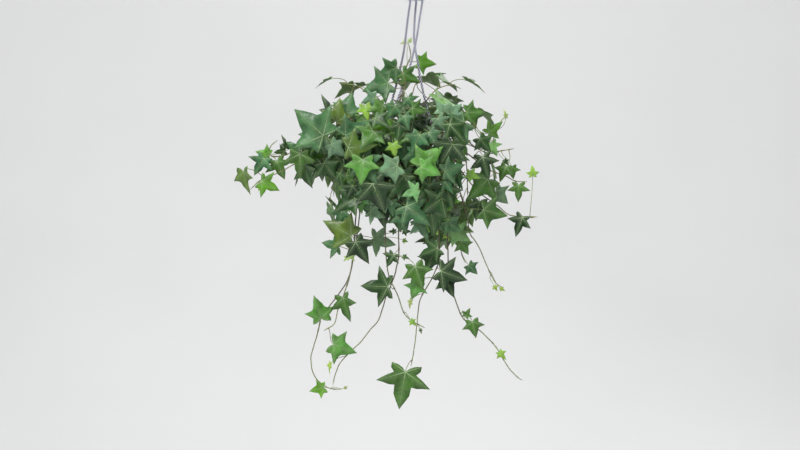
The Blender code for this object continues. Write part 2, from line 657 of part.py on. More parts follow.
    def fill_leaf(self, index, total):
        """Grows a leaf somewhere on the canopy, spread evenly over it."""
        draw = self.random
        rise = 0.92 - 1.75 * (index + 0.5) / total
        bearing = index * GOLDEN_TURN + draw.uniform(-12, 12)
        flat = math.sqrt(1.0 - rise * rise)
        way = Vector((flat * math.cos(math.radians(bearing)), flat * math.sin(math.radians(bearing)),
                      rise))
        share = draw.uniform(0.80, 0.98) if way.y > -0.25 else draw.uniform(0.60, 0.80)
        tall = CANOPY_RISE if rise > 0 else CANOPY_DROP
        base = CANOPY_MIDDLE + share * Vector((way.x * CANOPY_HALF_WIDTH, way.y * CANOPY_HALF_DEPTH,
                                               way.z * tall))
        face = (way + UP * 0.35 + Vector((draw.uniform(-0.4, 0.4), draw.uniform(-0.4, 0.4),
                                          draw.uniform(-0.3, 0.3)))).normalized()
        down = Vector((way.x * 0.8 + draw.uniform(-0.7, 0.7), way.y * 0.8 + draw.uniform(-0.7, 0.7),
                       -0.8 + draw.uniform(-0.3, 0.6)))
        ahead = (down - face * down.dot(face)).normalized()
        length = draw.uniform(*FILL_LENGTHS) * LEAF_SCALE
        fold, droop = self.bend()
        for pull in PULLS:
            place = base.lerp(CANOPY_MIDDLE, pull)
            if self.add_leaf(Leaf(place, ahead, face, length, fold, droop)):
                return

    def canopy_route(self, index):
        """A vine of the canopy: a bearing from the pot's axis and its route, in one of three tiers."""
        tier = index % 3
        bearing = index * GOLDEN_TURN + 25.0
        draw = self.random
        if tier == 0:
            reach, rise = draw.uniform(0.45, 0.70), draw.uniform(0.55, 0.80)
            steps = ((0.26, 0.30), (0.40, 0.62), (0.66, 0.92), (1.0, 1.0))
            root = 0.012 + 0.001 * (index % 8)
        elif tier == 1:
            reach, rise = draw.uniform(0.72, 0.88), draw.uniform(0.22, 0.34)
            steps = ((0.30, 0.60), (0.55, 0.95), (0.80, 1.0), (1.0, 0.45))
            root = 0.034
        else:
            reach, rise = draw.uniform(0.66, 0.80), -draw.uniform(0.45, 0.75)
            steps = ((0.66, -0.16), (0.86, 0.02), (0.97, 0.35), (1.0, 1.0))
            root = 0.048
        tall = CANOPY_RISE if rise > 0 else CANOPY_DROP
        angle = math.radians(bearing)
        points = []
        for out, up in steps:
            points.append(Vector((
                POT_X + math.cos(angle) * CANOPY_HALF_WIDTH * reach * out,
                math.sin(angle) * CANOPY_HALF_DEPTH * reach * out,
                max(CANOPY_MIDDLE.z, RIM_TOP) + tall * rise * up + 0.012,
            )))
        return bearing, root, points

    def grow(self):
        """Grows every vine, then every leaf."""
        for name, route in VINE_ROUTES.items():
            points = [Vector(point) * MM for point in route]
            away = points[0] - Vector((POT_X, 0.0, 0.0))
            bearing = math.degrees(math.atan2(away.y, away.x))
            root = TRAIL_ROOT if "trail" in name else SIDE_ROOT
            self.add_vine(name, points, bearing, root, True)
        for index in range(CANOPY_VINES):
            bearing, root, points = self.canopy_route(index)
            self.add_vine(f"canopy_{index + 1:02d}", points, bearing, root, False)
        for row in FRONT_LEAVES:
            self.front_leaf(row)
        for vine in self.vines[len(VINE_ROUTES):]:
            self.tip_leaf(vine)
        for index in range(FILL_LEAVES):
            self.fill_leaf(index, FILL_LEAVES)


def material(name, colour, roughness, metallic=0.0):
    """A Principled finish."""
    finish = bpy.data.materials.new(name)
    finish.use_nodes = True
    shader = finish.node_tree.nodes["Principled BSDF"]
    shader.inputs["Base Color"].default_value = (*colour, 1.0)
    shader.inputs["Roughness"].default_value = roughness
    shader.inputs["Metallic"].default_value = metallic
    finish.diffuse_color = (*colour, 1.0)
    return finish


def add_object(name, mesh, finish, smooth=True):
    """Puts a mesh in the scene under its own name, with its own copy of a finish."""
    piece = bpy.data.objects.new(name, mesh)
    bpy.context.scene.collection.objects.link(piece)
    own = finish.copy()
    own.name = name
    mesh.materials.clear()
    mesh.materials.append(own)
    if smooth:
        mesh.shade_smooth()
        mesh.set_sharp_from_angle(angle=math.radians(35))
    return piece


def mesh_of(name, bm):
    """A mesh from a bmesh, with its faces turned outwards."""
    bmesh.ops.recalc_face_normals(bm, faces=bm.faces)
    if bm.calc_volume(signed=True) < 0.0:
        bmesh.ops.reverse_faces(bm, faces=bm.faces)
    mesh = bpy.data.meshes.new(name)
    bm.to_mesh(mesh)
    bm.free()
    return mesh


def turned_solid(name, profile, steps, centre=(0.0, 0.0)):
    """A closed solid spun about a vertical axis from radius and height pairs."""
    bm = bmesh.new()
    corners = [bm.verts.new((radius, 0.0, z)) for radius, z in profile]
    edges = [bm.edges.new(pair) for pair in zip(corners, corners[1:])]
    if profile[0][0] > 0.0:
        edges.append(bm.edges.new((corners[-1], corners[0])))
    bmesh.ops.spin(bm, geom=corners + edges, axis=UP, cent=(0, 0, 0), angle=math.tau, steps=steps,
                   use_merge=True, use_duplicate=False)
    bmesh.ops.remove_doubles(bm, verts=bm.verts, dist=SAME_POINT)
    bmesh.ops.translate(bm, verts=bm.verts, vec=(*centre, 0.0))
    return mesh_of(name, bm)


def boolean(piece, cutter, operation):
    """Cuts or joins one object with another and drops the other."""
    step = piece.modifiers.new(operation.lower(), "BOOLEAN")
    step.operation = operation
    step.object = cutter
    step.solver = "EXACT"
    evaluated = piece.evaluated_get(bpy.context.evaluated_depsgraph_get())
    mesh = bpy.data.meshes.new_from_object(evaluated)
    bm = bmesh.new()
    bm.from_mesh(mesh)
    bmesh.ops.remove_doubles(bm, verts=bm.verts, dist=SAME_POINT)
    bm.to_mesh(mesh)
    bm.free()
    piece.modifiers.clear()
    piece.data = mesh
    bpy.data.objects.remove(cutter)


def post(radius, low, high, place, steps=HOLE_STEPS):
    """An upright cylinder, for cutting holes."""
    mesh = turned_solid("post", ((0.0, low), (radius, low), (radius, high), (0.0, high)), steps,
                        (place.x, place.y))
    cutter = bpy.data.objects.new("post", mesh)
    bpy.context.scene.collection.objects.link(cutter)
    return cutter


def tube_object(name, points, diameter, finish, resolution=2):
    """A round tube along points, closed at both ends."""
    curve = bpy.data.curves.new(name, "CURVE")
    curve.dimensions = "3D"
    curve.bevel_depth = diameter / 2
    curve.bevel_resolution = resolution
    curve.use_fill_caps = True
    spline = curve.splines.new("POLY")
    spline.points.add(len(points) - 1)
    for corner, point in zip(spline.points, points):
        corner.co = (*point, 1.0)
    own = finish.copy()
    own.name = name
    curve.materials.append(own)
    piece = bpy.data.objects.new(name, curve)
    bpy.context.scene.collection.objects.link(piece)
    return piece


def cord_exit(bearing):
    """Where a cord leaves the yoke."""
    return turned(Vector((CORD_RING, 0.0, YOKE_BOTTOM)), bearing)


def build_hook(finish):
    """The hook and the yoke below it, which holds the tops of the cords."""
    bend = HOOK_BEND + HOOK_ROD / 2
    centre_z = -HOOK_BEND
    yoke_top = YOKE_BOTTOM + YOKE_HEIGHT
    route = [Vector((0, 0, yoke_top - YOKE_NECK)), Vector((0, 0, yoke_top + YOKE_NECK * 1.5))]
    for turn in range(HOOK_ROOT_TURN, HOOK_TIP_TURN + 1, HOOK_TURN_STEP):
        angle = math.radians(turn)
        route.append(Vector((bend * math.cos(angle), 0.0, centre_z + bend * math.sin(angle))))
    path = Path(route)
    points = [path.at(path.length * i / HOOK_RINGS)[0] for i in range(HOOK_RINGS + 1)]
    tube = tube_object("tube", points, HOOK_ROD, finish)
    mesh = bpy.data.meshes.new_from_object(tube.evaluated_get(bpy.context.evaluated_depsgraph_get()))
    bpy.data.objects.remove(tube)
    rod = bpy.data.objects.new("rod", mesh)
    bpy.context.scene.collection.objects.link(rod)
    chamfer = YOKE_CHAMFER
    profile = (
        (0.0, YOKE_BOTTOM), (YOKE_RADIUS - chamfer, YOKE_BOTTOM), (YOKE_RADIUS, YOKE_BOTTOM + chamfer),
        (YOKE_RADIUS, yoke_top - 2 * chamfer), (YOKE_RADIUS - chamfer, yoke_top - chamfer * 0.6),
        (0.0, yoke_top),
    )
    yoke = add_object("hanger_hook", turned_solid("hanger_hook", profile, 32), finish)
    boolean(yoke, rod, "UNION")
    for bearing in CORD_EXITS.values():
        hole = post(CORD_DIAMETER / 2 + CLEARANCE, YOKE_BOTTOM - CUT_THROUGH,
                    YOKE_BOTTOM + SOCKET_DEPTH, cord_exit(bearing))
        boolean(yoke, hole, "DIFFERENCE")
    yoke.data.shade_smooth()
    yoke.data.set_sharp_from_angle(angle=math.radians(35))


def clip_radius():
    """Distance of a clip's cord from the pot's axis."""
    return RIM_RADIUS - RIM_THICKNESS / 2


def clip_top():
    """Height of the clips' tops."""
    return RIM_TOP + CLIP_HEAD


def build_clip(name, bearing, finish):
    """A clip that straddles the pot's rim and holds the foot of a cord in its head."""
    outer = RIM_THICKNESS / 2 + CLIP_CLEARANCE + CLIP_LEG
    bm = bmesh.new()
    bmesh.ops.create_cube(bm, size=1.0)
    bottom = RIM_TOP - CLIP_GRIP
    bmesh.ops.scale(bm, vec=(2 * outer, CLIP_WIDTH, clip_top() - bottom), verts=bm.verts)
    bmesh.ops.translate(bm, vec=(0, 0, (clip_top() + bottom) / 2), verts=bm.verts)
    bmesh.ops.bevel(bm, geom=bm.edges, offset=CLIP_BEVEL, offset_type="OFFSET", affect="EDGES",
                    segments=1, profile=0.5, material=-1)
    clip = add_object(name, mesh_of(name, bm), finish, False)
    slot_bm = bmesh.new()
    bmesh.ops.create_cube(slot_bm, size=1.0)
    slot_top = RIM_TOP + CLEARANCE
    slot_bottom = bottom - CUT_THROUGH
    bmesh.ops.scale(slot_bm, vec=(RIM_THICKNESS + 2 * CLIP_CLEARANCE, CLIP_WIDTH * 2,
                                  slot_top - slot_bottom), verts=slot_bm.verts)
    bmesh.ops.translate(slot_bm, vec=(0, 0, (slot_top + slot_bottom) / 2), verts=slot_bm.verts)
    slot = bpy.data.objects.new("slot", mesh_of("slot", slot_bm))
    bpy.context.scene.collection.objects.link(slot)
    boolean(clip, slot, "DIFFERENCE")
    hole = post(CORD_DIAMETER / 2 + CLEARANCE, clip_top() - SOCKET_DEPTH,
                clip_top() + CUT_THROUGH, Vector((0, 0, 0)))
    boolean(clip, hole, "DIFFERENCE")
    place = Matrix.Translation(around_pot(clip_radius(), bearing, 0.0))
    clip.matrix_world = place @ Matrix.Rotation(math.radians(bearing), 4, "Z")


def build_cord(name, finish):
    """A cord from its socket in the yoke to its socket in a rim clip."""
    depth = SOCKET_DEPTH - CLEARANCE
    top = cord_exit(CORD_EXITS[name])
    foot = around_pot(clip_radius(), CLIP_TURNS[name], clip_top())
    route = [top - UP * CORD_LEAD, *(Vector(point) * MM for point in CORD_ROUTES[name]),
             foot + UP * CORD_LEAD]
    path = Path(route)
    points = [path.at(path.length * i / CORD_POINTS)[0] for i in range(CORD_POINTS + 1)]
    points = [top + UP * depth, *points, foot - UP * depth]
    tube_object(f"cord_{name}", points, CORD_DIAMETER, finish)


def build_pot(finish):
    """The pot: a tapered wall, a thick rim, a foot ring and drain holes."""
    top, bottom = RIM_TOP, RIM_TOP - POT_HEIGHT
    neck = RIM_RADIUS - RIM_THICKNESS
    under = top - RIM_HEIGHT
    foot_in = BASE_RADIUS - FOOT_WIDTH
    profile = (
        (0.0, bottom + FOOT_HEIGHT), (foot_in, bottom + FOOT_HEIGHT), (foot_in, bottom),
        (BASE_RADIUS, bottom), (neck, under), (RIM_RADIUS, under), (RIM_RADIUS, top - RIM_ROUNDING),
        (RIM_RADIUS - RIM_ROUNDING, top), (neck + RIM_ROUNDING, top), (neck, top - RIM_ROUNDING),
        (neck, under + WALL), (neck - WALL, under), (BASE_RADIUS - WALL, inner_floor()),
        (0.0, inner_floor()),
    )
    pot = add_object("pot", turned_solid("pot", profile, ROUND_STEPS, (POT_X, 0.0)), finish)
    for i in range(DRAIN_COUNT):
        place = around_pot(DRAIN_RING, 360.0 * i / DRAIN_COUNT, 0.0)
        hole = post(DRAIN_RADIUS, bottom - CUT_THROUGH, inner_floor() + CUT_THROUGH, place)
        boolean(pot, hole, "DIFFERENCE")
    pot.data.shade_smooth()
    pot.data.set_sharp_from_angle(angle=math.radians(35))


def build_soil(finish):
    """The soil, which fills the pot to below its rim."""
    bottom = inner_floor() + CLEARANCE
    shoulder = RIM_TOP - SOIL_DEPTH
    narrow = inner_radius(bottom) - SOIL_SIDE_GAP
    wide = inner_radius(shoulder) - SOIL_SIDE_GAP
    profile = [(0.0, bottom), (narrow, bottom), (wide, shoulder)]
    profile += [(wide * share, soil_height(wide * share)) for share in (0.66, 0.33)]
    profile.append((0.0, soil_height(0.0)))
    add_object("soil", turned_solid("soil", tuple(profile), ROUND_STEPS, (POT_X, 0.0)), finish)


def blade_mesh(bm, leaf):
    """A thin closed blade, open where its stalk joins. Returns the edges of the opening."""
    outline = leaf.outline()
    half = BLADE_THICKNESS / 2
    upper = [bm.verts.new(leaf.point(across, along, half)) for across, along in outline]
    lower = [bm.verts.new(leaf.point(across, along, -half)) for across, along in outline]
    last = len(outline) - 1
    tip = last // 2
    for corners, right, left in ((upper, 0, last), (lower, 0, last)):
        bm.faces.new((corners[right], corners[tip], corners[left]))
        for i in range(right + 1, tip):
            bm.faces.new((corners[right], corners[i], corners[i + 1]))
        for i in range(tip, left - 1):
            bm.faces.new((corners[left], corners[i], corners[i + 1]))
    for i in range(last):
        bm.faces.new((upper[i], upper[i + 1], lower[i + 1], lower[i]))
    corners = (upper[0], upper[last], lower[last], lower[0])
    return [bm.edges.get((a, b)) or bm.edges.new((a, b))
            for a, b in zip(corners, corners[1:] + corners[:1])]


def matched(ways, wanted):
    """Wanted corner directions of a stalk's section, in the order that is nearest to its own."""
    orders = [wanted[i:] + wanted[:i] for i in range(len(wanted))]
    return min(orders, key=lambda order: sum((a - b).length for a, b in zip(ways, order)))


def grow_stalk(bm, face, leaf):
    """Extrudes a stem's side along a stalk's route. Returns the face at its end."""
    normal = face.normal.copy()
    route = leaf.stalk
    sideways = leaf.ahead.cross(leaf.face)
    corners = [sideways - leaf.face, -sideways - leaf.face, leaf.face - sideways, sideways + leaf.face]
    for before, here, after in zip(route, route[1:], route[2:]):
        heading = (after - before).normalized()
        turn = normal.rotation_difference(heading)
        middle = face.calc_center_median()
        ways = [(turn @ (vert.co - middle)).normalized() for vert in face.verts]
        if after is route[-1]:
            turn = leaf.ahead.rotation_difference(heading)
            wanted = [(turn @ corner).normalized() for corner in corners]
            if (ways[0].cross(ways[1]) - wanted[0].cross(wanted[1])).length > 1.0:
                wanted.reverse()
            ways = matched(ways, wanted)
        face = bmesh.ops.extrude_discrete_faces(bm, faces=[face])["faces"][0]
        for vert, way in zip(face.verts, ways):
            vert.co = here + way * STALK_RADIUS * STALK_FLARE
        normal = heading
    return face


def build_vine(vine, finish):
    """One vine: the stem, then each leaf's stalk grown out of its side and bridged to its blade."""
    bm = bmesh.new()
    marks = {
        mark for mark in vine.ring_marks()
        if all(abs(leaf.mark - mark) > BAND_SPACING * 0.7 for leaf in vine.leaves)
    }
    for leaf in vine.leaves:
        marks |= {leaf.mark - BAND / 2, leaf.mark + BAND / 2}
    ordered = sorted(marks)
    rings = [[bm.verts.new(corner) for corner in vine.ring(mark)] for mark in ordered]
    sides = {}
    for i, (low, high) in enumerate(zip(rings, rings[1:])):
        for k in range(STEM_SIDES):
            after = (k + 1) % STEM_SIDES
            face = bm.faces.new((low[k], low[after], high[after], high[k]))
            sides[(round((ordered[i] + ordered[i + 1]) / 2, 5), k)] = face
    bm.faces.new(list(reversed(rings[0])))
    bm.faces.new(rings[-1])
    bm.normal_update()
    for leaf in vine.leaves:
        end = grow_stalk(bm, sides[(round(leaf.mark, 5), leaf.side)], leaf)
        opening = blade_mesh(bm, leaf)
        rim = list(end.edges)
        bmesh.ops.delete(bm, geom=[end], context="FACES_ONLY")
        bmesh.ops.bridge_loops(bm, edges=rim + opening)
    add_object(vine.name, mesh_of(vine.name, bm), finish, False)


def tree_of(name):
    """The surface of a finished piece, for finding what the plant would touch."""
    piece = bpy.data.objects[name]
    evaluated = piece.evaluated_get(bpy.context.evaluated_depsgraph_get())
    mesh = evaluated.to_mesh()
    points = [piece.matrix_world @ vert.co for vert in mesh.vertices]
    faces = [list(face.vertices) for face in mesh.polygons]
    evaluated.to_mesh_clear()
    return BVHTree.FromPolygons(points, faces)


def main():
    """Clears the scene and builds every piece."""
    for item in list(bpy.data.objects):
        bpy.data.objects.remove(item)
    hanger = material("hanger", (0.62, 0.62, 0.72), 0.35)
    plastic = material("pot_plastic", (0.025, 0.027, 0.025), 0.45)
    earth = material("earth", (0.055, 0.035, 0.022), 0.95)
    green = material("ivy", (0.07, 0.20, 0.06), 0.45)
    build_hook(hanger)
    for name, bearing in CLIP_TURNS.items():
        build_clip(f"rim_clip_{name}", bearing, hanger)
        build_cord(name, hanger)
    build_pot(plastic)
    build_soil(earth)
    bpy.context.view_layer.update()
    made = sorted(piece.name for piece in bpy.data.objects if piece.name != "soil")
    plant = Plant([tree_of(name) for name in made], tree_of("soil"))
    plant.grow()
    for vine in plant.vines:
        build_vine(vine, green)


main()
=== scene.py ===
"""Looks of the hanging potted ivy.

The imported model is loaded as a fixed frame. The plant grows again here by the same rules as its
solids, so that each detailed leaf lies where its solid is, and then more leaves fill the canopy's
back, sides and inside. X is to the right, Y away from the front, Z up, with the origin under the
hook's bend. Routes and leaf places are in millimetres, everything else in metres.
"""

from __future__ import annotations

import logging
import math
import random
from dataclasses import dataclass, field
from enum import Enum
from typing import Iterable, Sequence

import bmesh
import bpy
from mathutils import Matrix, Quaternion, Vector, noise
from mathutils.bvhtree import BVHTree
from mathutils.kdtree import KDTree


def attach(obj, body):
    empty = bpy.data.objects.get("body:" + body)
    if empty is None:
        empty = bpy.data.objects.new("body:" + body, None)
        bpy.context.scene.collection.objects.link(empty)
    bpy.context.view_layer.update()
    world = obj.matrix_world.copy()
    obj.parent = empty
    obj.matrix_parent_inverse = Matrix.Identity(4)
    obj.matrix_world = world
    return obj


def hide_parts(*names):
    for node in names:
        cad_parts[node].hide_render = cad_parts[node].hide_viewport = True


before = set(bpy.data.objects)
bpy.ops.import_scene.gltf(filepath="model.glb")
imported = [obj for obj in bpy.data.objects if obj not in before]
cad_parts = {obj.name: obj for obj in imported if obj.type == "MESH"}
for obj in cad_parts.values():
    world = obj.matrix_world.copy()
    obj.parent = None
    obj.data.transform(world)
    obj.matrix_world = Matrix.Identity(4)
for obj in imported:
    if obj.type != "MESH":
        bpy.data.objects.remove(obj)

MM = 0.001
UP = Vector((0.0, 0.0, 1.0))
FRONT = Vector((0.0, -1.0, 0.0))
GOLDEN_TURN = 137.508
ROOT_BODY = "root"

# Vines with their own routes, after they have left the soil
VINE_ROUTES = {
    "trail_1": ((-66, -52, -272), (-84, -62, -310), (-88, -66, -370), (-94, -68, -447),
                (-102, -68, -477), (-118, -66, -501), (-131, -64, -518), (-141, -62, -533),
                (-146, -60, -555), (-153, -58, -579), (-156, -56, -594), (-153, -54, -613),
                (-145, -52, -626), (-129, -52, -637), (-110, -52, -639)),
    "trail_2": ((-60, -64, -270), (-76, -76, -310), (-82, -78, -370), (-92, -76, -440),
                (-98, -75, -470), (-103, -74, -485), (-109, -73, -503), (-115, -72, -518),
                (-120, -72, -538), (-130, -71, -546), (-137, -70, -550)),
    "trail_3": ((-44, -66, -272), (-48, -80, -310), (-46, -84, -370), (-45, -84, -428),
                (-41, -83, -465), (-36, -82, -479), (-28, -80, -495), (-20, -78, -519),
                (-13, -77, -529), (-4, -76, -536), (13, -76, -545)),
    "trail_4": ((-30, -68, -272), (-30, -84, -305), (-27, -92, -360), (-26, -95, -411),
                (-26, -94, -438), (-31, -92, -463), (-36, -91, -478), (-45, -90, -500),
                (-55, -88, -531), (-67, -86, -546), (-81, -84, -564), (-90, -82, -573),
                (-102, -80, -585), (-112, -78, -597), (-118, -76, -610), (-123, -75, -630)),
    "trail_5": ((10, -64, -272), (24, -78, -305), (31, -86, -360), (33, -90, -417), (33, -92, -444),
                (22, -93, -472), (6, -94, -500), (2, -94, -524), (0, -93, -548), (-4, -92, -579),
                (-8, -91, -600)),
    "trail_6": ((24, -56, -272), (42, -66, -305), (46, -72, -360), (46, -76, -420), (48, -78, -465),
                (55, -78, -496), (67, -76, -528), (80, -75, -540), (92, -74, -548), (106, -73, -561),
                (120, -72, -577), (130, -71, -595), (140, -70, -609), (150, -70, -619),
                (157, -70, -623)),
    "trail_7": ((36, -44, -273), (54, -50, -305), (66, -54, -350), (75, -56, -382), (79, -57, -406),
                (87, -58, -418), (96, -59, -435), (106, -60, -459), (110, -60, -467),
                (117, -60, -480), (127, -60, -486)),
    "trail_8": ((42, 8, -274), (54, -2, -320), (60, -18, -380), (65, -32, -425), (70, -38, -446),
                (74, -39, -452)),
    "left_low": ((-84, -8, -268), (-115, -16, -268), (-150, -24, -283), (-180, -30, -305),
                 (-207, -34, -319), (-229, -36, -328), (-246, -37, -343)),
    "left_middle": ((-80, 8, -262), (-118, 2, -252), (-155, -6, -270), (-190, -14, -290),
                    (-212, -18, -295), (-219, -20, -288), (-215, -20, -277), (-206, -20, -270)),
    "left_high": ((-70, -20, -250), (-95, -24, -234), (-120, -28, -234), (-138, -30, -248),
                  (-150, -30, -268)),
    "right_high": ((18, -34, -250), (40, -38, -233), (62, -37, -230), (82, -35, -240),
                   (92, -34, -255)),
    "right_curl": ((38, 14, -266), (66, 2, -266), (92, -15, -282), (108, -20, -281),
                   (117, -21, -264), (125, -22, -244), (133, -22, -234)),
    "right_thin": ((30, 30, -264), (76, 20, -276), (108, 4, -290), (127, -5, -286),
                   (147, -6, -283)),
    "right_middle": ((36, -28, -266), (76, -34, -290), (105, -38, -312), (133, -40, -323),
                     (146, -41, -330), (164, -42, -331)),
    "right_low": ((44, -26, -276), (66, -36, -314), (92, -44, -346), (117, -48, -364),
                  (136, -49, -379), (154, -49, -382), (180, -49, -383)),
    "top_sprig": ((-26, 16, -235), (-22, 22, -190), (-15, 26, -162), (-8, 27, -144),
                  (-11, 27, -126)),
}

# Cords' own routes between the yoke and the clips
CORD_ROUTES = {
    "left": ((-12, 0, -86), (-15, 6, -111), (-18, 12, -135), (-23, 20, -160), (-29, 29, -185),
             (-37, 39, -215), (-45, 48, -250)),
    "right": ((-2, 9, -90), (-3, 7, -117), (-1, 5, -135), (2, 4, -151), (6, 2, -175),
              (14, 0, -213), (22, -2, -240), (32, -4, -264)),
    "front": ((5, -6, -90), (1, -8, -117), (-3, -11, -135), (-9, -15, -160), (-16, -20, -179),
              (-27, -28, -208), (-38, -36, -238), (-49, -43, -266)),
}

